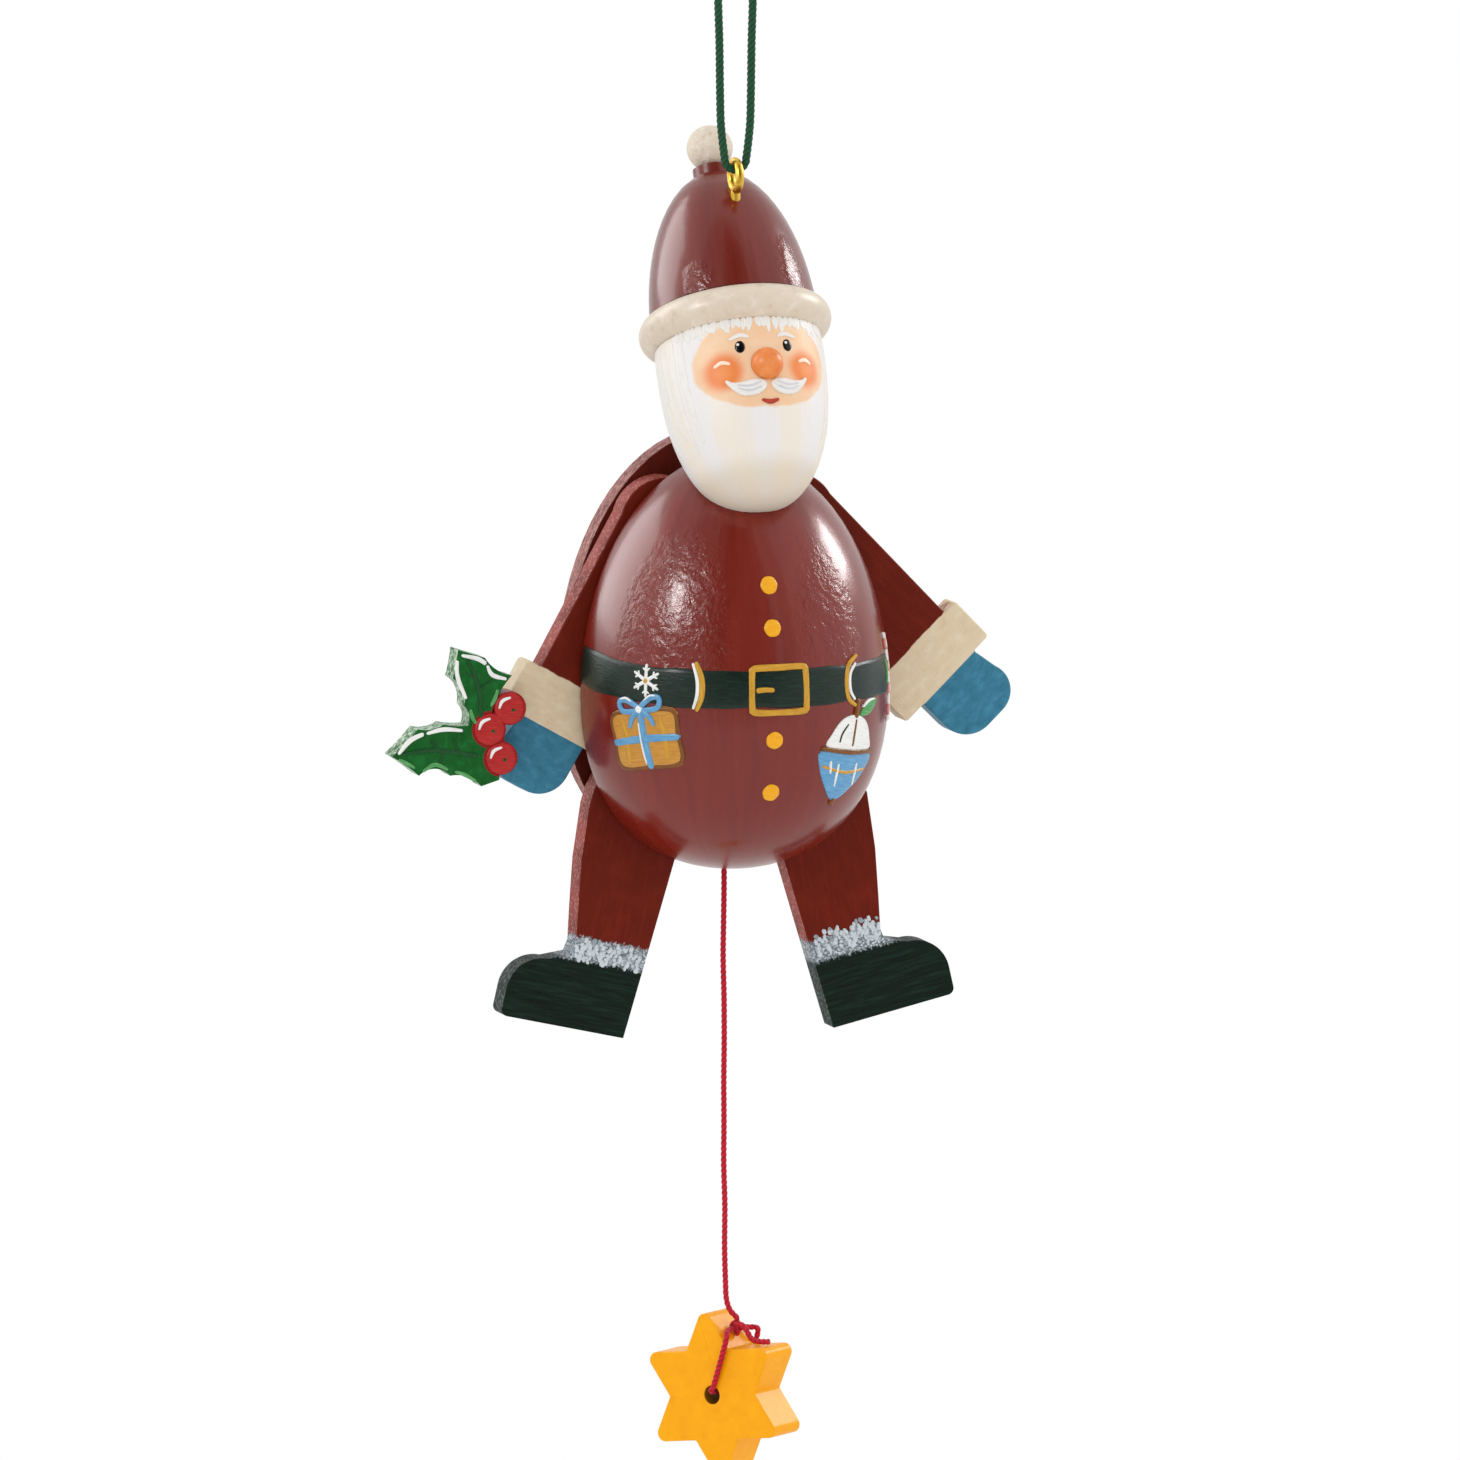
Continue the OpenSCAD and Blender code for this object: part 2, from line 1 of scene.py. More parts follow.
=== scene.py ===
"""Looks of a painted wooden jumping jack that hangs by a green cord.

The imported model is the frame, and every piece here rides on one of its bodies. Sizes in the
classes are millimetres in the drawing frame of the figure: X to the right as seen from the front,
Y to the back, Z up, with the middle of the belt at height 0. A point becomes metres in the row
frame, whose origin is where the cord's loop hangs, when a mesh is made.
"""

from __future__ import annotations

import sys
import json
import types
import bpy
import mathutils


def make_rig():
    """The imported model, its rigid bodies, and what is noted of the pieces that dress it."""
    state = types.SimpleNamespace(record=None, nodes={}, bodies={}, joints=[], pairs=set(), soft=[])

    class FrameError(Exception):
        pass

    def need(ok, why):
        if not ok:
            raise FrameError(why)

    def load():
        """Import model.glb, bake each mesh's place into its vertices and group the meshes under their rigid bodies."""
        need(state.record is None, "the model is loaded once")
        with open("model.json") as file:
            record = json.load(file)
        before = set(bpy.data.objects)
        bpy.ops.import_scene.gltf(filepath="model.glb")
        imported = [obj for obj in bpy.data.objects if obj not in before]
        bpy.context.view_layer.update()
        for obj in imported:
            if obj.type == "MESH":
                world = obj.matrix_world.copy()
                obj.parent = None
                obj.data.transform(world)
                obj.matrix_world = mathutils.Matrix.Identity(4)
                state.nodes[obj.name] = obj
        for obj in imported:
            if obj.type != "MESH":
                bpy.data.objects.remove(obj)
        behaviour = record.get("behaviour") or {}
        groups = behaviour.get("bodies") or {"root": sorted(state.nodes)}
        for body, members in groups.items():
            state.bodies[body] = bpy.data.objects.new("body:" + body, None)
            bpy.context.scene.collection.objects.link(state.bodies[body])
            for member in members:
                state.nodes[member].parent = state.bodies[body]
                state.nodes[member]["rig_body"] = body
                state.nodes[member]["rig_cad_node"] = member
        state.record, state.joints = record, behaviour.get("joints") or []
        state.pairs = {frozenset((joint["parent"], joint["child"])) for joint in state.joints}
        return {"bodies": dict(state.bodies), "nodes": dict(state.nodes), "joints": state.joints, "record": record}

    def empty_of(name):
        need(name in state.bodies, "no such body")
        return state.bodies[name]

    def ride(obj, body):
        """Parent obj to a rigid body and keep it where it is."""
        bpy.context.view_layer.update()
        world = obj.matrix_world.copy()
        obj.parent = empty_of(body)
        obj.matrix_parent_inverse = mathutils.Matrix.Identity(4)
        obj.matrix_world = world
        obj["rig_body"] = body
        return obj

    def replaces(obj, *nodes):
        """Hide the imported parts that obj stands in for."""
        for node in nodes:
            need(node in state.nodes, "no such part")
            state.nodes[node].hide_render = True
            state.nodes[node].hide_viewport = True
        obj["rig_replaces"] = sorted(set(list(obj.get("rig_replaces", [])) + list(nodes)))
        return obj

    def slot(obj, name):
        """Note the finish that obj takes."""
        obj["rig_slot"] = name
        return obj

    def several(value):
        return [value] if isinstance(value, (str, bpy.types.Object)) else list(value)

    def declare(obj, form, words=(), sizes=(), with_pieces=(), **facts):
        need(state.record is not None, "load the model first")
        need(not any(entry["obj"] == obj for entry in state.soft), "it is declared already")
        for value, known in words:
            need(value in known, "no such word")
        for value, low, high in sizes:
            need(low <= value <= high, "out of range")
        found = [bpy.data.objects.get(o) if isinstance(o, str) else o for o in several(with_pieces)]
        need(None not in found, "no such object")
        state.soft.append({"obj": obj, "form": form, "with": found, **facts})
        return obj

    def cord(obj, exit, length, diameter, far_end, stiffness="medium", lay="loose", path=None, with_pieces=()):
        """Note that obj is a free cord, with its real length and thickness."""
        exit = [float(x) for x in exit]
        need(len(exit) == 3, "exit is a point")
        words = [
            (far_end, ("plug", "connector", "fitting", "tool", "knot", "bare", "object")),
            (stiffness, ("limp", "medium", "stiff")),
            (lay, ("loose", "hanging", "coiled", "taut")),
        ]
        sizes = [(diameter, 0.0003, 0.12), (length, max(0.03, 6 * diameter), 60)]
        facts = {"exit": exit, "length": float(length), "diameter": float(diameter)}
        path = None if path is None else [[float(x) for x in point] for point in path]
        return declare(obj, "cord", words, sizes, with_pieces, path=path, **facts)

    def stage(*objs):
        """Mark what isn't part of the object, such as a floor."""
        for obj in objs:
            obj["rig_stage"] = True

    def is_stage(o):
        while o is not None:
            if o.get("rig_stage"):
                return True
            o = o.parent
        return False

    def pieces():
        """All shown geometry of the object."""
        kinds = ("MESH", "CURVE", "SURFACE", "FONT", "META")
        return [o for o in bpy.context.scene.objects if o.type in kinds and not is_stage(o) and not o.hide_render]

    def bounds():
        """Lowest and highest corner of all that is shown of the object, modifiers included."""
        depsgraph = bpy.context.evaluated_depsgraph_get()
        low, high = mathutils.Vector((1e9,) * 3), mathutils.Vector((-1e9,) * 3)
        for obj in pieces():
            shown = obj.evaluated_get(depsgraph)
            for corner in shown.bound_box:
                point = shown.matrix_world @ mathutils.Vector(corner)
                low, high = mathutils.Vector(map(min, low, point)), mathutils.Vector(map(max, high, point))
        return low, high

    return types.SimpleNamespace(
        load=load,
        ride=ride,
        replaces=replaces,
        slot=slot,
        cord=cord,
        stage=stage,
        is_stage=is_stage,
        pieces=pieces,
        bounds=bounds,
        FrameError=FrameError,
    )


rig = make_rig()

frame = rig.load()
CAD_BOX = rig.bounds()

import json
import logging
import math
from collections.abc import Callable
from dataclasses import dataclass, field
from enum import Enum
from itertools import product

import bmesh
import bpy
import numpy as np
from bpy.types import ID, Material, Node, NodeSocket, Object, World
from mathutils import Matrix

LOG = logging.getLogger("jumping_jack")
MM = 0.001
HANG_POINT = np.array([0.0, -2.1, 106.0])
SLOT_MIDDLE = 3.3
Pair = tuple[float, float]
Triple = tuple[float, float, float]
Route = list[Triple] | np.ndarray
Paints = dict[str, Material]
RIGHTWARDS, BACKWARDS, UPWARDS = (1.0, 0.0, 0.0), (0.0, 1.0, 0.0), (0.0, 0.0, 1.0)


# Frames: places on the figure, in millimetres.


def cos_sin(degrees: float) -> Pair:
    """The cosine and the sine of an angle in degrees."""
    return math.cos(math.radians(degrees)), math.sin(math.radians(degrees))


@dataclass(frozen=True)
class Axes:
    """A place on the figure with its own three axes.

    Attributes:
        origin: Its zero point in the drawing frame.
        across: Unit vector of the first axis.
        inward: Unit vector of the second axis.
        along: Unit vector of the third axis.
    """

    origin: Triple = (0.0, 0.0, 0.0)
    across: Triple = RIGHTWARDS
    inward: Triple = BACKWARDS
    along: Triple = UPWARDS

    def matrix(self) -> np.ndarray:
        """The three axes as the rows of a matrix."""
        return np.array([self.across, self.inward, self.along], float)

    def point(self, local: Route) -> np.ndarray:
        """Local points of shape (..., 3) as points of the drawing frame."""
        return np.asarray(local, float) @ self.matrix() + np.array(self.origin)

    def local(self, points: np.ndarray) -> np.ndarray:
        """Points of the drawing frame on these axes."""
        return (points - np.array(self.origin)) @ self.matrix().T


def row_frame(points: Route) -> np.ndarray:
    """Points of the drawing frame in millimetres as points of the row frame in metres."""
    return (np.asarray(points, float) - HANG_POINT) * MM


class Side(Enum):
    """A side of the figure, as seen in the picture; its value is the way of that side's x."""

    LEFT = -1
    RIGHT = 1


def limb_axes(side: Side, pivot: Pair, rest: float) -> Axes:
    """The axes of a limb: away from the body, to the back, and up the limb to its pivot.

    Args:
        side: The side of the figure.
        pivot: Distance of the pivot from the middle, and its height.
        rest: Swing of the limb away from straight down, in degrees.

    Returns:
        The axes, with their zero on the pivot in the middle of the slot.
    """
    way, (c, s) = side.value, cos_sin(rest)
    return Axes((way * pivot[0], SLOT_MIDDLE, pivot[1]), (way * c, 0.0, s), BACKWARDS, (-way * s, 0.0, c))


def head_axes(tilt: float) -> Axes:
    """The axes of the head, which is tilted to the front by so many degrees."""
    c, s = cos_sin(tilt)
    return Axes((0.0, -1.9, 49.1), inward=(0.0, c, -s), along=(0.0, s, c))


def star_axes(turn: float) -> Axes:
    """The axes of the star, turned about its string: along its face, out of its front, and up."""
    c, s = cos_sin(turn)
    return Axes((0.1, SLOT_MIDDLE, -105.4), (c, s, 0.0), (s, -c, 0.0))


BELT, HEAD, STAR = Axes(), head_axes(26), star_axes(-53)
SHOULDER, HIP = (9.5, 21.0), (11.5, -12.0)
LIMBS = {
    "left_arm": limb_axes(Side.LEFT, SHOULDER, 29.5),
    "right_arm": limb_axes(Side.RIGHT, SHOULDER, 44.2),
    "left_leg": limb_axes(Side.LEFT, HIP, 13.0),
    "right_leg": limb_axes(Side.RIGHT, HIP, 13.0),
}


# Mesh tools.


def unit(v: np.ndarray) -> np.ndarray:
    """Vectors of the last axis at length one."""
    return v / np.maximum(np.linalg.norm(v, axis=-1, keepdims=True), 1e-12)


def distances(line: np.ndarray) -> np.ndarray:
    """How far along a line each of its points lies."""
    return np.concatenate([[0], np.cumsum(np.linalg.norm(np.diff(line, axis=0), axis=1))])


def directions(line: np.ndarray, closed: bool) -> np.ndarray:
    """The direction of an open or closed line at each of its points, at length one."""
    return unit(np.roll(line, -1, axis=0) - np.roll(line, 1, axis=0) if closed else np.gradient(line, axis=0))


def smooth_line(points: Route, count: int, closed: bool = False) -> np.ndarray:
    """A smooth line through given points, at even steps along its length.

    Between two points runs the cubic whose slope at each point is half the way from the point
    before to the point after.

    Args:
        points: The points it passes, of any number of coordinates.
        count: How many points come back.
        closed: Whether it joins its own start.

    Returns:
        An array of count points.
    """
    p = np.asarray(points, float)
    p = np.vstack([p[-1:], p, p[:2]] if closed else [2 * p[0] - p[1], p, 2 * p[-1] - p[-2]])
    n = len(p) - 3
    u = np.linspace(0, n, 24 * n + 1)
    i = np.minimum(u.astype(int), n - 1)
    t = (u - i)[:, None]
    a, b, c, d = p[i], p[i + 1], p[i + 2], p[i + 3]
    fine = 0.5 * (2 * b + (c - a) * t + (2 * a - 5 * b + 4 * c - d) * t**2 + (3 * b - a - 3 * c + d) * t**3)
    gone = distances(fine)
    at = np.linspace(0, gone[-1], count, endpoint=not closed)
    return np.stack([np.interp(at, gone, fine[:, k]) for k in range(p.shape[1])], axis=1)


def three_lobes(size: float, count: int) -> np.ndarray:
    """A closed overhand knot: the curve (sin t + 2 sin 2t, cos t - 2 cos 2t, -sin 3t), times a size."""
    t = np.linspace(0, 2 * np.pi, count, endpoint=False)
    x, y = np.sin(t) + 2 * np.sin(2 * t), np.cos(t) - 2 * np.cos(2 * t)
    return size * np.stack([x, y, -np.sin(3 * t)], axis=1)


def grid_faces(rows: int, cols: int, join_rows: bool = False, join_cols: bool = True) -> list[list[int]]:
    """The quads of a grid of points, counted row by row.

    Args:
        rows: Number of rows.
        cols: Number of points in a row.
        join_rows: Whether the last row meets the first.
        join_cols: Whether each row is a closed ring.

    Returns:
        Four point numbers for each quad.
    """
    r, c = np.arange(rows if join_rows else rows - 1), np.arange(cols if join_cols else cols - 1)
    r, c = (x.ravel() for x in np.meshgrid(r, c, indexing="ij"))
    r1, c1 = (r + 1) % rows, (c + 1) % cols
    return np.stack([r * cols + c, r * cols + c1, r1 * cols + c1, r1 * cols + c], axis=1).tolist()


def add_object(name: str, data: ID) -> Object:
    """Makes an object at the origin and links it to the scene."""
    thing = bpy.data.objects.new(name, data)
    bpy.context.scene.collection.objects.link(thing)
    return thing


def join_frame(thing: Object, body: str, slot: str, node: str = "") -> Object:
    """Tells the frame what a piece rides on, its material slot and, where it has one, its CAD node."""
    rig.ride(thing, body)
    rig.slot(thing, slot)
    if node:
        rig.replaces(thing, node)
    LOG.info("%s: %d faces, rides on %s", thing.name, len(thing.data.polygons), body)
    return thing


@dataclass
class Surface:
    """Points and faces that are gathered into one mesh.

    Attributes:
        points: Arrays of points in the drawing frame, in millimetres.
        faces: Lists of faces, by point number in the whole.
        uv: One (u, v) for each point.
        size: How many points there are so far.
    """

    points: list[np.ndarray] = field(default_factory=list)
    faces: list[list[int]] = field(default_factory=list)
    uv: list[np.ndarray] = field(default_factory=list)
    size: int = 0

    def add(self, points: np.ndarray, faces: list[list[int]], uv: np.ndarray) -> None:
        """Adds points, their faces, counted from their own first point, and a (u, v) for each."""
        self.points.append(points.reshape(-1, 3))
        self.uv.append(uv.reshape(-1, 2))
        self.faces.extend([k + self.size for k in face] for face in faces)
        self.size += len(self.points[-1])

    def add_rings(self, rings: np.ndarray, uv: np.ndarray, closed: bool) -> None:
        """Adds rings of points as a tube, with flat ends unless it is closed on itself.

        Args:
            rings: Points of shape (rings, sides, 3), each ring turning left as seen from ahead.
            uv: One (u, v) for each point of the rings.
            closed: Whether the last ring meets the first.
        """
        n, m = rings.shape[:2]
        faces = grid_faces(n, m, join_rows=closed)
        if not closed:
            faces += [list(range(m - 1, -1, -1)), list(range((n - 1) * m, n * m))]
        self.add(rings, faces, uv)

    def add_cord(
        self, line: np.ndarray, diameter: float, lay: float, side_way: Triple = BACKWARDS,
        strands: int = 2, sides: int = 16, closed: bool = False, groove: float = 0.2,
    ) -> None:
        """Adds a cord laid up from strands that wind round its centreline.

        At each point the section is a circle whose radius dips by the groove between strands: the
        radius is the full one times 1 - groove * (1 - |cos(strands * (angle - turn) / 2)|), and
        the turn grows by a whole circle in each lay. Its map has u along a strand's width and v
        the length in mm.

        Args:
            line: The centreline, in millimetres.
            diameter: Full diameter.
            lay: Length in which a strand goes once round.
            side_way: A direction that the line is never parallel to.
            strands: Number of strands.
            sides: Points in each ring.
            closed: Whether the cord joins its own start.
            groove: Depth of the groove as a share of the radius.
        """
        along = directions(line, closed)
        one = unit(np.cross(np.array(side_way, float), along))
        two = np.cross(along, one)
        gone = distances(line)[:, None]
        angle = np.linspace(0, 2 * np.pi, sides, endpoint=False)[None, :]
        turn = 2 * np.pi * gone / lay
        r = diameter / 2 * (1 - groove * (1 - np.abs(np.cos(strands * (angle - turn) / 2))))
        out = (r * np.cos(angle))[..., None] * one[:, None] + (r * np.sin(angle))[..., None] * two[:, None]
        uv = np.stack([strands * (angle - turn) / (2 * np.pi), gone + 0 * r], axis=-1)
        self.add_rings(line[:, None, :] + out, uv, closed)

    def make(
        self, name: str, body: str, material: Material, slot: str, node: str = ""
    ) -> Object:
        """Makes the mesh with its own map "lay".

        Args:
            name: The piece's name.
            body: The body that it moves with.
            material: Its finish.
            slot: The record's material slot that the finish belongs to.
            node: The CAD node that it replaces, if any.

        Returns:
            The new object.
        """
        mesh = bpy.data.meshes.new(name)
        mesh.from_pydata(row_frame(np.vstack(self.points)).tolist(), [], self.faces)
        loops = np.zeros(len(mesh.loops), np.int32)
        mesh.loops.foreach_get("vertex_index", loops)
        layer = mesh.uv_layers.new(name="lay")
        layer.data.foreach_set("uv", np.vstack(self.uv)[loops].astype(np.float32).ravel())
        mesh.polygons.foreach_set("use_smooth", [True] * len(mesh.polygons))
        mesh.update()
        mesh.materials.append(material)
        return join_frame(add_object(name, mesh), body, slot, node)


# Shader tools.


def colour(code: str) -> tuple[float, float, float, float]:
    """A colour written as six hexadecimal digits, as the linear values that a socket takes."""
    parts = [int(code[i : i + 2], 16) / 255 for i in (0, 2, 4)]
    linear = [c / 12.92 if c <= 0.04045 else ((c + 0.055) / 1.055) ** 2.4 for c in parts]
    return (linear[0], linear[1], linear[2], 1.0)


def operator(operation: str, swapped: bool = False) -> Callable[..., Signal]:
    """Makes a method that adds one Math node.

    Args:
        operation: The node's operation.
        swapped: Whether the other value comes first.

    Returns:
        The method, for a Signal and at most one other value.
    """

    def method(self: Signal, *others: float | Signal) -> Signal:
        """One Math node on this value and the other."""
        values = (*others, self) if swapped else (self, *others)
        node = self.graph.node("ShaderNodeMath", {"operation": operation}, dict(enumerate(values)))
        return Signal(self.graph, node.outputs[0])

    return method


@dataclass(frozen=True, eq=False)
class Signal:
    """A number that varies over a surface: a socket whose operators add Math nodes.

    Attributes:
        graph: The finish that it belongs to.
        socket: The socket that gives its value.
    """

    graph: Graph
    socket: NodeSocket

    __add__ = __radd__ = operator("ADD")
    __mul__ = __rmul__ = operator("MULTIPLY")
    __sub__ = operator("SUBTRACT")
    __rsub__ = operator("SUBTRACT", swapped=True)
    __truediv__ = operator("DIVIDE")
    __pow__ = operator("POWER")
    __abs__ = operator("ABSOLUTE")
    sine = operator("SINE")
    larger = operator("MAXIMUM")
    smaller = operator("MINIMUM")
    angle_from = operator("ARCTAN2")

    def rise(self, low: float, high: float) -> Signal:
        """From 0 at low to 1 at high, with a smooth start and end; low may be above high."""
        values = {0: self, 1: low, 2: high, 3: 0.0, 4: 1.0}
        node = self.graph.node("ShaderNodeMapRange", {"interpolation_type": "SMOOTHSTEP"}, values)
        return Signal(self.graph, node.outputs[0])

    def between(self, low: float, high: float, soft: float) -> Signal:
        """1 between two values and 0 outside them, with an edge of the given softness."""
        return self.rise(low - soft, low + soft) * (1 - self.rise(high - soft, high + soft))


Place = tuple[float | Signal, float | Signal, float | Signal]
Sockets = dict[int | str, object]


class Graph:
    """The node tree of one finish."""

    def __init__(self, name: str, owner: World | None = None) -> None:
        """Starts an empty material of that name, or the empty tree of another owner."""
        self.owner = owner or bpy.data.materials.new(name)
        self.owner.use_nodes = True
        self.tree = self.owner.node_tree
        self.tree.nodes.clear()

    def node(self, kind: str, settings: Sockets | None = None, values: Sockets | None = None) -> Node:
        """Adds one node, sets it, and then feeds its sockets.

        Args:
            kind: The node's type.
            settings: Its settings.
            values: Numbers, colours, sockets or signals, by the socket's name or number.

        Returns:
            The node.
        """
        made = self.tree.nodes.new(kind)
        for key, setting in (settings or {}).items():
            setattr(made, key, setting)
        for key, value in (values or {}).items():
            source = value.socket if isinstance(value, Signal) else value
            if isinstance(source, NodeSocket):
                self.tree.links.new(source, made.inputs[key])
            else:
                made.inputs[key].default_value = source
        return made

    def dot(self, vector: NodeSocket, axis: Triple) -> Signal:
        """How far a vector goes along an axis."""
        made = self.node("ShaderNodeVectorMath", {"operation": "DOT_PRODUCT"}, {0: vector, 1: tuple(axis)})
        return Signal(self, made.outputs["Value"])

    def place(self, axes: Axes) -> tuple[Signal, Signal, Signal]:
        """The surface point in millimetres on the given axes."""
        coords = self.node("ShaderNodeTexCoord").outputs["Object"]
        values = {0: coords, 1: tuple(row_frame(axes.origin))}
        moved = self.node("ShaderNodeVectorMath", {"operation": "SUBTRACT"}, values).outputs[0]
        x, y, z = (self.dot(moved, tuple(c / MM for c in axis)) for axis in axes.matrix().tolist())
        return x, y, z

    def turned_place(self, axes: Axes) -> tuple[Signal, Signal, Signal, Signal]:
        """The surface point, and its turn round the third axis in radians, 0 in front."""
        x, y, z = self.place(axes)
        return x, y, z, x.angle_from(y * -1.0)

    def edge(self, axes: Axes) -> Signal:
        """1 on the edges of a board that is flat across the second axis, and 0 on its two faces."""
        facing = self.node("ShaderNodeTexCoord").outputs["Normal"]
        return 1 - abs(self.dot(facing, axes.inward)).rise(0.3, 0.8)

    def own_map(self) -> tuple[Signal, Signal]:
        """The place on a piece's own map "lay": across a strand or stroke, and along it in mm."""
        lay = self.node("ShaderNodeUVMap", {"uv_map": "lay"}).outputs[0]
        parts = self.node("ShaderNodeSeparateXYZ", None, {0: lay})
        return Signal(self, parts.outputs[0]), Signal(self, parts.outputs[1])

    def point(self, at: Place, scale: float | Triple, shift: float) -> NodeSocket:
        """Three values as a vector, each times its scale, and the third moved on by a shift."""
        scales = scale if isinstance(scale, tuple) else (scale,) * 3
        x, y, z = (value if by == 1.0 else value * by for value, by in zip(at, scales))
        return self.node("ShaderNodeCombineXYZ", None, {0: x, 1: y, 2: z + shift if shift else z}).outputs[0]

    def noise(
        self, at: Place, scale: float | Triple, detail: float = 3.0,
        rough: float = 0.5, warp: float = 0.0, shift: float = 0.0,
    ) -> Signal:
        """Cloudy noise between 0 and 1.

        Args:
            at: Three values, as a place.
            scale: How many clouds to a unit, along all or each of them.
            detail: How many finer layers it has.
            rough: How strong these are.
            warp: How far it is distorted.
            shift: How far on in the third direction it is taken from.
        """
        values = {"Vector": self.point(at, scale, shift), "Scale": 1.0, "Detail": detail}
        values.update({"Roughness": rough, "Distortion": warp})
        return Signal(self, self.node("ShaderNodeTexNoise", None, values).outputs[0])

    def cells(self, at: Place, scale: float | Triple, shift: float = 0.0) -> Signal:
        """Distance to the nearest of many scattered points."""
        values = {"Vector": self.point(at, scale, shift), "Scale": 1.0}
        return Signal(self, self.node("ShaderNodeTexVoronoi", None, values).outputs["Distance"])

    def layers(self, base: object, *coats: tuple[Signal, object]) -> object:
        """A base colour with further colours over it, each by its own mask; a text is a colour's code."""
        for mask, over in coats:
            under, top = (colour(shade) if isinstance(shade, str) else shade for shade in (base, over))
            base = self.node("ShaderNodeMix", {"data_type": "RGBA"}, {0: mask, 6: under, 7: top}).outputs[2]
        return base

    def brushed(self, strokes: Signal, shades: tuple[str, str, str], light: Triple, dark: Triple) -> object:
        """A colour with lighter strokes where a noise is high and darker ones where it is low.

        Args:
            strokes: The noise.
            shades: The colour, its lighter and its darker shade.
            light: Where the noise starts and ends to count as high, and the lighter shade's share.
            dark: The same for the darker shade, of 1 minus the noise.

        Returns:
            The colour's socket.
        """
        bright, dim = ((s.rise(a, b) * share) for s, (a, b, share) in ((strokes, light), (1 - strokes, dark)))
        return self.layers(shades[0], (bright, shades[1]), (dim, shades[2]))

    def bump(self, height: Signal, depth: float) -> NodeSocket:
        """A normal from a height between 0 and 1 that stands for the given depth in millimetres."""
        values = {"Height": height, "Distance": depth * MM, "Strength": 1.0}
        return self.node("ShaderNodeBump", None, values).outputs[0]

    def finish(
        self, base: object, roughness: Signal, normal: NodeSocket, **fixed: float
    ) -> Material:
        """Ends the graph in one Principled shader.

        Args:
            base: The base colour.
            roughness: The roughness.
            normal: The bumped normal.
            fixed: Other sockets, with underscores for the spaces in their names.

        Returns:
            The material.
        """
        values = {"Base Color": base, "Roughness": roughness, "Normal": normal}
        values.update({key.replace("_", " "): value for key, value in fixed.items()})
        return self.end(self.node("ShaderNodeBsdfPrincipled", None, values))

    def end(self, shader: Node, kind: str = "Material") -> ID:
        """Links a shader to the output of that kind, and returns the tree's owner."""
        self.node(f"ShaderNodeOutput{kind}", None, {"Surface": shader.outputs[0]})
        return self.owner


# The stage.


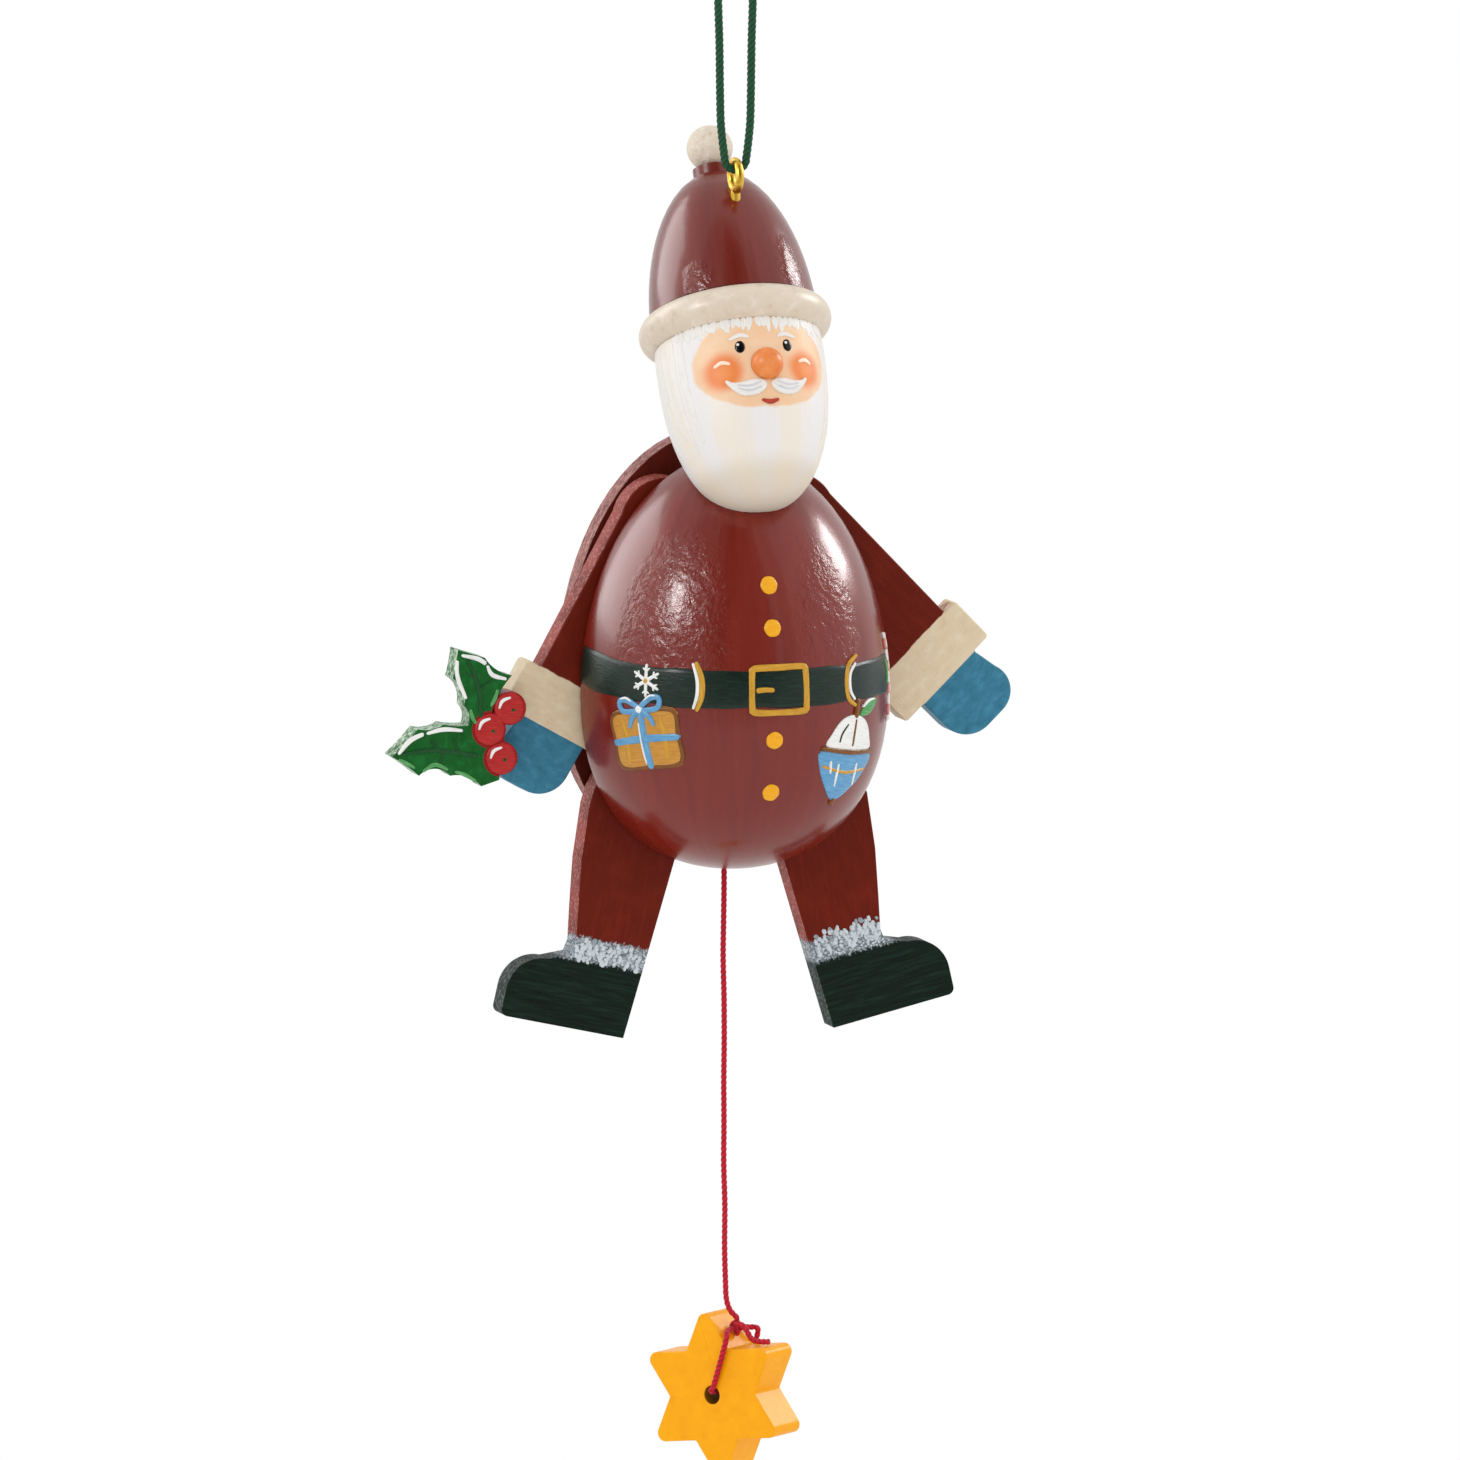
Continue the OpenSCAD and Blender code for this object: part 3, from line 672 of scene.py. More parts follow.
@dataclass
class Studio:
    """Camera at the picture's angle, a pale tent of light, soft lamps and dim screens.

    Attributes:
        target: What the camera looks at, in the drawing frame.
        camera_at: Turn round the figure and height above the level in degrees, and distance in m.
        view_width: What the frame takes in at the target, in millimetres.
        sensor: Width of the camera's sensor in millimetres.
        tent: Strength of the light from all round.
        lamps: Each lamp's name, its place as the camera's, its side in m and its power in W.
        screens: First and last turn of each screen's points in degrees, and its level, where the tent is 1.
        screen_heights: Lowest and highest of a screen's points, in degrees.
        screen_steps: Points of a screen's grid across and up.
        screen_faces: The grid that a screen's faces are numbered on. It is smaller than the grid of the
        points, so a screen ends short of them with stepped edges. The light was set with it so.
        screen_distance: Distance of the screens in metres.
        floor_drop: Height of the floor in the drawing frame.
        floor_half: Half the floor's side in metres.
    """

    target: Triple = (-0.15, 0.0, -8.9)
    camera_at: Triple = (-17.6, 8.0, 2.6)
    view_width: float = 208.45
    sensor: float = 36.0
    tent: float = 1.07
    lamps: tuple[tuple[str, Triple, float, float], ...] = (
        ("key_lamp", (-65.0, 27.5, 0.9), 0.16, 3.6),
        ("right_lamp", (101.0, 24.0, 0.9), 0.24, 3.2),
        ("rim_lamp", (-131.0, 24.0, 1.2), 0.8, 8.0),
    )
    screens: tuple[Triple, ...] = ((-76.0, -36.0, 0.45), (-36.0, 22.0, 0.02), (22.0, 34.0, 0.4))
    screen_heights: Pair = (-16.0, 84.0)
    screen_steps: tuple[int, int] = (12, 19)
    screen_faces: tuple[int, int] = (12, 16)
    screen_distance: float = 4.0
    floor_drop: float = -2900.0
    floor_half: float = 9.0

    def direction(self, azimuth: float | np.ndarray, elevation: float | np.ndarray) -> np.ndarray:
        """Unit vectors from the figure towards places round it, by their angles in degrees."""
        a, e = np.radians(azimuth), np.radians(elevation)
        return np.stack([np.sin(a) * np.cos(e), -np.cos(a) * np.cos(e), np.sin(e)], axis=-1)

    def aim(self, thing: Object, azimuth: float, elevation: float, distance: float) -> None:
        """Puts a camera or lamp round the target, looking at it."""
        away = self.direction(azimuth, elevation)
        side = unit(np.cross(UPWARDS, away))
        matrix = np.eye(4)
        matrix[:3, 0], matrix[:3, 1], matrix[:3, 2] = side, np.cross(away, side), away
        matrix[:3, 3] = row_frame(self.target) + distance * away
        thing.matrix_world = Matrix(matrix.tolist())

    def camera(self) -> None:
        """Makes the camera, with a long lens and everything sharp."""
        lens = bpy.data.cameras.new("camera")
        lens.sensor_width, lens.sensor_fit = self.sensor, "HORIZONTAL"
        lens.lens = self.sensor * self.camera_at[2] / (self.view_width * MM)
        lens.clip_start, lens.clip_end = 0.01, 20.0
        thing = add_object("camera", lens)
        self.aim(thing, *self.camera_at)
        bpy.context.scene.camera = thing

    def lamp(self, name: str, at: Triple, size: float, power: float) -> None:
        """Makes one square soft lamp that gives highlights only.

        Args:
            name: The lamp's name.
            at: Its turn and height in degrees, and its distance in metres.
            size: Its side in metres.
            power: Its power in watts.
        """
        light = bpy.data.lights.new(name, "AREA")
        light.shape, light.size, light.energy = "SQUARE", size, power
        thing = add_object(name, light)
        self.aim(thing, *at)
        thing.visible_diffuse = thing.visible_camera = False

    def world(self) -> None:
        """White where the camera, a reflection or glass looks past the figure, and the tent as light."""
        bpy.context.scene.world = bpy.data.worlds.new("tent")
        graph = Graph("tent", bpy.context.scene.world)
        path = graph.node("ShaderNodeLightPath").outputs
        seen = Signal(graph, path["Is Camera Ray"])
        for ray in ("Is Glossy Ray", "Is Transmission Ray"):
            seen = seen.larger(Signal(graph, path[ray]))
        level = graph.node("ShaderNodeMapRange", None, {0: seen, 3: self.tent, 4: 1.0}).outputs[0]
        back = graph.node("ShaderNodeBackground", None, {"Color": colour("FFFFFF"), "Strength": level})
        graph.end(back, "World")

    def sheet(
        self, name: str, points: np.ndarray, faces: list[list[int]], finish: Material
    ) -> Object:
        """Makes a mesh of the stage from points in metres."""
        mesh = bpy.data.meshes.new(name)
        mesh.from_pydata(points.reshape(-1, 3).tolist(), [], faces)
        mesh.materials.append(finish)
        thing = add_object(name, mesh)
        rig.stage(thing)
        return thing

    def screen(self, from_azimuth: float, to_azimuth: float, level: float) -> None:
        """A dim screen far round the camera's side of the room, which only gloss reflects.

        It is a patch of a sphere about the figure, from a little below the level to high up.

        Args:
            from_azimuth: Where it starts, in degrees round the figure.
            to_azimuth: Where it ends.
            level: How bright it is, where the tent is 1.
        """
        graph = Graph(f"dim_screen_{from_azimuth:.0f}")
        glow = graph.node("ShaderNodeEmission", None, {"Color": (level, level, level, 1.0), "Strength": 1.0})
        columns, rows = self.screen_steps
        turns, heights = np.linspace(from_azimuth, to_azimuth, columns), np.linspace(*self.screen_heights, rows)
        ball = self.direction(*np.meshgrid(turns, heights, indexing="ij"))
        points = row_frame(self.target) + self.screen_distance * ball
        faces = grid_faces(*self.screen_faces, join_cols=False)
        thing = self.sheet("dim_screen", points, faces, graph.end(glow))
        thing.visible_camera = thing.visible_diffuse = thing.visible_shadow = thing.visible_transmission = False

    def floor(self) -> None:
        """A wide pale floor well below the star, white to the camera apart from the shadow."""
        graph = Graph("pale_floor")
        paper = graph.node("ShaderNodeBsdfDiffuse", None, {"Color": colour("EFEEEC")})
        white = graph.node("ShaderNodeEmission", None, {"Color": colour("FFFFFF"), "Strength": 1.0})
        share = Signal(graph, graph.node("ShaderNodeLightPath").outputs["Is Camera Ray"]) * 0.95
        both = graph.node("ShaderNodeMixShader", None, {0: share, 1: paper.outputs[0], 2: white.outputs[0]})
        low, half = row_frame((0.0, 0.0, self.floor_drop))[2], self.floor_half
        corners = np.array([(-half, -half, low), (half, -half, low), (half, half, low), (-half, half, low)])
        self.sheet("floor", corners, [[0, 1, 2, 3]], graph.end(both))

    def build(self) -> None:
        """Camera first, then lamps, world, floor, screens and the plain view."""
        self.camera()
        for lamp in self.lamps:
            self.lamp(*lamp)
        self.world()
        self.floor()
        for screen in self.screens:
            self.screen(*screen)
        bpy.context.scene.view_settings.view_transform = "Standard"


# Finishes.

Zone = tuple[float, float, float, float]


@dataclass(frozen=True)
class Finish:
    """A procedural material.

    Attributes:
        name: The material's name.
    """

    name: str

    def build(self) -> Material:
        """Makes the material."""
        raise NotImplementedError


@dataclass(frozen=True)
class CordFinish(Finish):
    """Dyed twisted yarn: fibres along each strand, painted shade in the grooves and painted light on top.

    Attributes:
        light: Colour on top of a strand, as painted light.
        dark: Colour in a groove, as painted shade.
        fibre: Fibres across one strand.
    """

    light: str
    dark: str
    fibre: float = 9.0

    def build(self) -> Material:
        """The material, which follows the cord's own map."""
        graph = Graph(self.name)
        across, length = graph.own_map()
        hump = abs((across * math.pi).sine())
        fibres = graph.noise((across * self.fibre, length * 1.6 + across * 3.0, 0.0), 1.0, 2.0, 0.6)
        fine = graph.noise((across, length, 0.0), (30.0, 9.0, 1.0), 2.0, shift=2.0)
        cloud = graph.noise((0.0, length, 0.0), 0.6, 1.0, shift=7.0)
        # Painted light and shade: lighter on each strand's top, darker in its grooves; fibres and cloud add the yarn's
        # own tone.
        shade = hump.rise(0.1, 0.9) * 0.55 + fibres * 0.5 + (cloud - 0.5) * 0.3 - 0.1
        base = graph.layers(self.dark, (shade.larger(0.0).smaller(1.0), self.light))
        normal = graph.bump(fibres * 0.7 + fine * 0.3, 0.05)
        rough = 0.62 + fine * 0.25
        return graph.finish(base, rough, normal, Sheen_Weight=0.12, Sheen_Roughness=0.4, Specular_IOR_Level=0.2)


@dataclass(frozen=True)
class TurnedPaint(Finish):
    """Gloss paint brushed along the axis of a turned piece, so that it shows upright streaks.

    Attributes:
        axes: The piece's own axes, with the third along its axis.
        seed: Where in the noise its streaks are taken from.
        zones: Where the gloss is wrinkled, as (turn, height, reach in degrees, reach in mm).
        main: Its colour.
        light: Colour of the lighter strokes.
        dark: Colour of the darker strokes and of cracks.
    """

    axes: Axes
    seed: float = 0.0
    zones: tuple[Zone, Zone] = ((-40.0, 9.0, 24.0, 13.0), (24.0, 8.0, 15.0, 11.0))
    main: str = "741A0C"
    light: str = "822415"
    dark: str = "5C1307"

    def wrinkled(self, turn: Signal, z: Signal, warp: Signal) -> Signal:
        """1 inside the zones of wrinkled gloss, with uneven soft edges."""
        inside = []
        for at, level, wide, high in self.zones:
            across, up = (turn - math.radians(at)) / math.radians(wide), (z - level) / high
            reach = (across**2.0 + up**2.0) ** 0.5
            inside.append(1 - (reach + (warp - 0.5) * 0.6).rise(0.45, 1.15))
        return inside[0].larger(inside[1])

    def build(self) -> Material:
        """The material."""
        graph = Graph(self.name)
        x, y, z, turn = graph.turned_place(self.axes)
        round_it = (turn, z, 0.0)
        broad = graph.noise(round_it, (3.0, 0.025, 1.0), 2.0, 0.5, 0.2, shift=self.seed + 11.0)
        streaks = graph.noise(round_it, (9.0, 0.05, 1.0), 4.0, 0.62, 0.3, shift=self.seed)
        hairs = graph.noise(round_it, (60.0, 0.14, 1.0), 3.0, 0.6, shift=self.seed + 3.0)
        pits = graph.noise(round_it, (22.0, 1.1, 1.0), 3.0, 0.6, shift=self.seed + 5.0)
        warp = graph.noise((x, y, z), 0.9, 3.0, 0.6)
        base = graph.layers(
            self.main,
            (broad.rise(0.45, 0.7) * 0.5, self.light),
            (streaks.rise(0.45, 0.75) * 0.4, self.light),
            ((1 - streaks).rise(0.52, 0.76) * 0.5, self.dark),
            (hairs.rise(0.54, 0.72) * 0.25, self.dark),
        )
        upright, level = (turn * 20.0 + z) * 0.45 + warp, (turn * 20.0 - z) * 0.16
        folds = graph.noise((upright, level, 4.0), 1.0, 2.0, 0.5, 0.5)
        crackle = graph.noise((x * 0.62 + warp, y * 0.62, z * 0.6), 1.0, 3.0, 0.5, 1.0)
        relief = (folds + crackle) * (self.wrinkled(turn, z, warp) * 2.6 + 0.15)
        normal = graph.bump(hairs * 0.12 + pits * 0.06 + streaks * 0.25 + relief, 0.07)
        rough = 0.17 + streaks * 0.1 + pits * 0.06
        return graph.finish(base, rough, normal, Coat_Weight=0.15, Coat_Roughness=0.08, Specular_IOR_Level=0.45)


@dataclass(frozen=True)
class HeadPaint(Finish):
    """Cream paint for hair and beard, with a skin-coloured oval and soft warm cheeks in front.

    Attributes:
        axes: The head's own axes, with the third along its axis.
    """

    axes: Axes

    def build(self) -> Material:
        """The material."""
        graph = Graph(self.name)
        x, y, z, turn = graph.turned_place(self.axes)
        turn = turn * math.degrees(1.0)
        streaks = graph.noise((turn, z, 0.0), (0.16, 0.09, 1.0), 4.0, 0.6, 0.3, shift=2.0)
        hairs = graph.noise((turn, z, 0.0), (0.9, 0.16, 1.0), 3.0, 0.6, shift=6.0)
        cloud = graph.noise((x, y, z), 0.3)
        band = (turn * 0.13 + streaks * 5.0).sine()
        wool = graph.layers(
            "EDE3D7",
            (band.rise(-0.8, 0.8) * 0.85, "E8E6E8"),
            (hairs.rise(0.5, 0.72) * 0.4, "F0ECE8"),
            # Darker cream round the beard's lower end: painted shade of its underside.
            ((1 - z.rise(-24.5, -21.0)) * 0.6, "D6C6AC"),
            (hairs.rise(0.55, 0.75) * 0.2, "C4B7A2"),
        )
        uneven = (cloud - 0.5) * 0.12
        oval_reach = ((turn / 54.0) ** 2.0 + ((z + 9.0) / 6.8) ** 2.0) ** 0.5 + uneven
        cheek = (((abs(turn) - 31.0) / 15.0) ** 2.0 + ((z + 10.1) / 2.9) ** 2.0) ** 0.5 + uneven
        face = graph.layers(
            "EFC49B",
            (cloud.rise(0.4, 0.7) * 0.7, "F1D3B1"),
            (hairs.rise(0.55, 0.75) * 0.15, "DDA87C"),
            (1 - cheek.rise(0.55, 1.25), "EA7C2E"),
            ((1 - cheek.rise(0.1, 0.8)) * 0.5, "F09549"),
        )
        base = graph.layers(wool, (1 - oval_reach.rise(0.96, 1.03), face))
        normal = graph.bump(streaks * 0.5 + hairs * 0.4, 0.04)
        return graph.finish(base, 0.42 + hairs * 0.12, normal, Specular_IOR_Level=0.4)


@dataclass(frozen=True)
class LeafPaint(Finish):
    """Green gloss on a cut-out board, speckled pale along its edges and red at its berries.

    Attributes:
        berries: Middles of the berries, as (x, height).
    """

    berries: tuple[Pair, ...]

    def build(self) -> Material:
        """The material."""
        graph = Graph(self.name)
        x, y, z = graph.place(BELT)
        strokes = graph.noise((x, y, z), (0.8, 0.8, 0.5), 4.0, 0.6, 0.4)
        dots = graph.cells((x, y, z), 1.7)
        patch = graph.noise((x, y, z), 0.5, 3.0, 0.6)
        side = graph.edge(BELT)
        green = graph.brushed(strokes, ("0E5A1E", "187030", "084818"), (0.48, 0.7, 0.7), (0.52, 0.74, 0.7))
        pale = side * ((1 - dots).rise(0.4, 0.65) * 0.6 + patch.rise(0.45, 0.6) * 0.35)
        one, two, three = (((x - bx) ** 2.0 + (z - bz) ** 2.0) ** 0.5 for bx, bz in self.berries)
        berry = 1 - one.smaller(two).smaller(three).rise(2.6, 2.7)
        base = graph.layers(green, (pale, "C8DFC4"), (berry, "8E1518"))
        normal = graph.bump(strokes * 0.5 + dots * side * 0.8, 0.05)
        return graph.finish(base, 0.27 + strokes * 0.12, normal, Specular_IOR_Level=0.15)


@dataclass(frozen=True)
class BandPaint(Finish):
    """Two-sided board paint in bands along a limb, with the wood's grain under it.

    Attributes:
        axes: The limb's axes.
        boot: Whether the limb ends in a boot with a band of fur, rather than a cuff and mitten.
    """

    axes: Axes
    boot: bool

    def build(self) -> Material:
        """The material."""
        graph = Graph(self.name)
        x, y, z = at = graph.place(self.axes)
        seed = self.axes.origin[0]
        along = graph.noise(at, (1.3, 1.3, 0.16), 4.0, 0.65, 0.4, shift=seed)
        pores = graph.noise(at, (4.5, 4.5, 0.35), 3.0, 0.7, shift=seed)
        blotch = graph.noise(at, 0.25, shift=seed)
        speck = 1 - graph.cells(at, (2.3, 2.3, 1.6), shift=seed)
        level = z + (graph.noise((x, y, 0.0), 0.6, 2.0, shift=seed + 4.0) - 0.5) * 0.5
        # Mask of the board's edges, which take a painted sheen and specks of wear.
        edge_wear_and_sheen = graph.edge(self.axes)
        red = graph.layers(
            "66190A",
            (along.rise(0.45, 0.7) * 0.7, "741F10"),
            (pores.rise(0.55, 0.75) * 0.5, "4C1107"),
            (blotch.rise(0.5, 0.75) * 0.35, "7C2512"),
            # On the edges: a soft pink that is painted sheen, and pale specks that are wear and painted sheen.
            (edge_wear_and_sheen * (blotch.rise(0.3, 0.6) * 0.45 + 0.15), "B2524A"),
            (edge_wear_and_sheen * speck.rise(0.55, 0.8) * 0.6, "D0928A"),
        )
        height, rough = along * 0.5 + pores * 0.5, 0.4 + pores * 0.2
        if self.boot:
            across = graph.noise(at, (0.2, 0.6, 2.4), 4.0, 0.7, 0.5, shift=seed)
            shades = ("112019", "1C332C", "080F0E")
            dark = graph.brushed(across, shades, (0.48, 0.66, 0.55), (0.5, 0.7, 0.55))
            # Pale grey specks on the boot's edges: wear and painted sheen.
            dark = graph.layers(dark, (edge_wear_and_sheen * speck.rise(0.45, 0.75) * 0.6, "6F7B78"))
            boot = 1 - level.rise(-30.5, -30.2)
            tufts = 1 - graph.cells(at, (2.6, 2.6, 3.2), shift=seed)
            clump = graph.noise(at, 1.1, shift=seed)
            ragged = z + (graph.noise(at, (2.2, 2.2, 1.4), 3.0, 0.6) - 0.5) * 2.2
            fur = ragged.between(-30.9, -27.7, 0.3)
            white = graph.layers(
                "737C83",
                (tufts.rise(0.4, 0.62), "B0BAC0"),
                (clump.rise(0.5, 0.65) * tufts.rise(0.5, 0.7) * 0.8, "DCE3E6"),
            )
            base = graph.layers(red, (boot, dark), (fur, white))
            height = height * (1 - boot * 0.5) + across * boot * 0.7 + fur * (tufts * 1.5 + 0.5)
            rough = rough + boot * 0.05 + fur * 0.1
        else:
            cloth = graph.noise(at, (0.5, 0.5, 0.9), 4.0, 0.6, shift=seed)
            cream = ("DCC8A9", "E6D7BC", "C5AF8C"), (0.45, 0.7, 0.6), (0.55, 0.75, 0.4)
            blue = ("397893", "4A8EAB", "2E687F"), (0.45, 0.7, 0.6), (0.52, 0.72, 0.6)
            cuff = 1 - level.rise(-26.35, -26.15)
            mitten = 1 - z.rise(-33.66, -33.62)
            cream_coat, blue_coat = graph.brushed(cloth, *cream), graph.brushed(cloth, *blue)
            base = graph.layers(red, (cuff, cream_coat), (mitten, blue_coat))
            height = height + cuff * 0.8
            rough = rough - cuff * 0.08
        return graph.finish(base, rough, graph.bump(height, 0.06), Specular_IOR_Level=0.1)


@dataclass(frozen=True)
class PlainPaint(Finish):
    """One colour of brushed gloss paint with darker and lighter strokes and small pits.

    Attributes:
        main: Its colour.
        light: Colour of the lighter strokes.
        dark: Colour of the darker strokes, and of darker pits.
        rough: Its roughness.
        grain: How many strokes to a millimetre along each axis.
        depth: Depth of its relief in millimetres.
        gloss: Its specular level.
        edge_wear_and_sheen: Colour of a board's edges, rubbed specks with a painted sheen, or nothing.
        hole: Radius and colour of a hole round the second axis, darker inside, or nothing.
        axes: The axes of its strokes.
    """

    main: str
    light: str
    dark: str
    rough: float = 0.3
    grain: Triple = (0.5, 0.5, 0.5)
    depth: float = 0.04
    gloss: float = 0.4
    edge_wear_and_sheen: str = ""
    hole: tuple[float, str] | None = None
    axes: Axes = BELT

    def build(self) -> Material:
        """The material."""
        graph = Graph(self.name)
        at = graph.place(self.axes)
        strokes = graph.noise(at, self.grain, 4.0, 0.6, 0.3)
        pits = graph.noise(at, 2.2, 3.0, 0.6)
        shades = (self.main, self.light, self.dark)
        base = graph.brushed(strokes, shades, (0.48, 0.72, 0.8), (0.54, 0.76, 0.6))
        base = graph.layers(base, (pits.rise(0.64, 0.78) * 0.4, self.dark))
        # A board's edges take a pale colour: painted sheen with rubbed specks.
        if self.edge_wear_and_sheen:
            speck = 1 - graph.cells(at, 1.8)
            share = strokes.rise(0.35, 0.6) * 0.4 + speck.rise(0.5, 0.75) * 0.45 + 0.1
            base = graph.layers(base, (graph.edge(self.axes) * share, self.edge_wear_and_sheen))
        # The hole's walls and a thin ring round it turn darker.
        if self.hole:
            radius, hole_colour = self.hole
            away = (at[0] ** 2.0 + at[2] ** 2.0) ** 0.5
            base = graph.layers(base, (1 - away.rise(radius - 0.05, radius + 0.1), hole_colour))
        normal = graph.bump(strokes * 0.6 + pits * 0.4, self.depth)
        return graph.finish(base, self.rough + pits * 0.15, normal, Specular_IOR_Level=self.gloss)


@dataclass(frozen=True)
class DabPaint(Finish):
    """Thick paint from a loaded brush, with the marks of its hairs along each stroke.

    Attributes:
        main: Its colour.
        light: Colour where it lies thick.
        dark: Colour between the hair marks.
        rough: Its roughness.
    """

    main: str
    light: str
    dark: str
    rough: float = 0.26

    def build(self) -> Material:
        """The material, which follows each stroke's own map."""
        graph = Graph(self.name)
        across, length = graph.own_map()
        hairs = graph.noise((across, length, 0.0), (5.0, 0.45, 1.0), 3.0, 0.6, 0.3)
        cloud = graph.noise((across, length, 0.0), (0.9, 0.6, 1.0), 3.0, 0.6, shift=5.0)
        base = graph.brushed(hairs, (self.main, self.light, self.dark), (0.48, 0.7, 0.7), (0.52, 0.74, 0.7))
        base = graph.layers(base, (cloud.rise(0.56, 0.76) * 0.4, self.dark))
        normal = graph.bump(hairs * 0.7 + cloud * 0.3, 0.05)
        return graph.finish(base, self.rough + cloud * 0.12, normal, Specular_IOR_Level=0.3)


@dataclass(frozen=True)
class BareWood(Finish):
    """Unpainted pale wood with upright grain."""

    def build(self) -> Material:
        """The material."""
        graph = Graph(self.name)
        at = graph.place(BELT)
        rings = graph.noise(at, (0.9, 0.9, 0.06), 3.0, 0.5, 1.0)
        fibres = graph.noise(at, (7.0, 7.0, 0.4), 2.0, 0.6)
        growth, dark = rings.rise(0.45, 0.65) * 0.8, fibres.rise(0.52, 0.72) * 0.5
        base = graph.layers("CDA878", (growth, "B58C5A"), (dark, "8F6B42"))
        return graph.finish(base, 0.62 + fibres * 0.15, graph.bump(fibres, 0.04))


@dataclass(frozen=True)
class Brass(Finish):
    """Bright brass wire with small scratches and a brown film in places."""

    def build(self) -> Material:
        """The material."""
        graph = Graph(self.name)
        at = graph.place(BELT)
        cloud = graph.noise(at, 0.9, 4.0, 0.6)
        marks = graph.noise(at, (2.0, 2.0, 14.0), 3.0, 0.7)
        base = graph.layers("E2B84B", (cloud.rise(0.5, 0.75) * 0.7, "8A6322"))
        return graph.finish(base, 0.18 + cloud * 0.2 + marks * 0.1, graph.bump(marks, 0.015), Metallic=1.0)


# Canvases and brushwork.


class Canvas:
    """A surface that paint is laid on, with a flat map of its own."""

    def at(self, flat: np.ndarray) -> tuple[np.ndarray, np.ndarray]:
        """The surface points and outward normals at flat points."""
        raise NotImplementedError

    def flat(self, points: np.ndarray) -> np.ndarray:
        """The flat points below or above points of the drawing frame."""
        raise NotImplementedError


@dataclass(frozen=True)
class Egg(Canvas):
    """The outside of a turned egg; a flat point is (turn in degrees, height in mm) on its axes.

    At a height h above the widest level the radius is r * sqrt(1 - (h / up)^2), and at a depth d
    below it r * (1 - (d / down)^power)^(1 / power).

    Attributes:
        axes: The egg's axes, with the third along its own axis.
        widest: Height of its widest level.
        r: Its radius there.
        up: Its height above that level.
        down: Its depth below it.
        power: How full its lower part is.
    """

    axes: Axes
    widest: float
    r: float
    up: float
    down: float
    power: float

    def radius(self, height: np.ndarray) -> np.ndarray:
        """The radius at a height."""
        h = height - self.widest
        above, below = np.clip(h / self.up, 0, 0.999), np.clip(-h / self.down, 0, 0.999)
        low = (1 - below**self.power) ** (1 / self.power)
        return self.r * np.where(h > 0, np.sqrt(1 - above**2), low)

    def at(self, flat: np.ndarray) -> tuple[np.ndarray, np.ndarray]:
        """The surface points and outward normals at flat points."""
        turn, height = np.radians(flat[..., 0]), flat[..., 1]
        r, step = self.radius(height), 0.05
        slope = (self.radius(height + step) - self.radius(height - step)) / (2 * step)
        local = np.stack([r * np.sin(turn), -r * np.cos(turn), height], axis=-1)
        out = np.stack([np.sin(turn), -np.cos(turn), -slope], axis=-1)
        return self.axes.point(local), unit(out) @ self.axes.matrix()

    def flat(self, points: np.ndarray) -> np.ndarray:
        """The turn and height of points of the drawing frame."""
        local = self.axes.local(points)
        return np.stack([np.degrees(np.arctan2(local[..., 0], -local[..., 1])), local[..., 2]], axis=-1)


@dataclass(frozen=True)
class Board(Canvas):
    """The flat front of a board; a flat point is its place along the first and third axes in mm.

    Attributes:
        axes: The board's axes, with the second through its thickness.
        front: Where the front lies on the second axis.
    """

    axes: Axes
    front: float

    def at(self, flat: np.ndarray) -> tuple[np.ndarray, np.ndarray]:
        """The surface points and outward normals at flat points."""
        local = np.stack([flat[..., 0], np.full(flat.shape[:-1], self.front), flat[..., 1]], axis=-1)
        return self.axes.point(local), np.broadcast_to(-np.array(self.axes.inward), local.shape)

    def flat(self, points: np.ndarray) -> np.ndarray:
        """The places of points of the drawing frame along the first and third axes."""
        return self.axes.local(points)[..., [0, 2]]


@dataclass(frozen=True)
class Spot(Canvas):
    """A small place on an egg; a flat point is millimetres to its right and upwards, turned.

    Attributes:
        egg: The egg it lies on.
        middle: Turn and height of its zero point.
        turn: How far its own axes are turned to the left, in degrees.
        size: How much larger than written things come out on it.
    """

    egg: Egg
    middle: Pair
    turn: float = 0.0
    size: float = 1.0

    def _turned(self, flat: np.ndarray, degrees: float, size: float) -> np.ndarray:
        """Flat points turned about zero, and made larger."""
        (c, s), x, y = cos_sin(degrees), size * flat[..., 0], size * flat[..., 1]
        return np.stack([x * c - y * s, x * s + y * c], axis=-1)

    def at(self, flat: np.ndarray) -> tuple[np.ndarray, np.ndarray]:
        """The surface points and outward normals at flat points."""
        moved = self._turned(flat, self.turn, self.size)
        height = self.middle[1] + moved[..., 1]
        turn = self.middle[0] + np.degrees(moved[..., 0] / self.egg.radius(height))
        return self.egg.at(np.stack([turn, height], axis=-1))

    def flat(self, points: np.ndarray) -> np.ndarray:
        """The flat points of points of the drawing frame."""
        turn, height = np.moveaxis(self.egg.flat(points), -1, 0)
        across = np.radians(turn - self.middle[0]) * self.egg.radius(height)
        return self._turned(np.stack([across, height - self.middle[1]], axis=-1), -self.turn, 1 / self.size)


# How deep the edge of the paint is sunk, the places across a stroke's section as angles on top and
# as shares of its half width below, the shares at which a spot's outline is repeated inwards, and
# how far on in its map each next stroke or spot starts.
SINK = 0.12
STROKE_ANGLES = np.radians([-90, -72, -48, -20, 20, 48, 72, 90])
STROKE_FLOOR = (0.5, -0.5)
SPOT_SHARES = np.array([1.0, 0.985, 0.94, 0.85, 0.7, 0.5, 0.28])
MAP_STEP = np.array([5.3, 3.7])
BODY_EGG = Egg(BELT, -2.9, 22.5, 34.0, 25.7, 2.2)
HEAD_EGG = Egg(HEAD, -5.7, 12.0, 23.5, 21.9, 2.35)


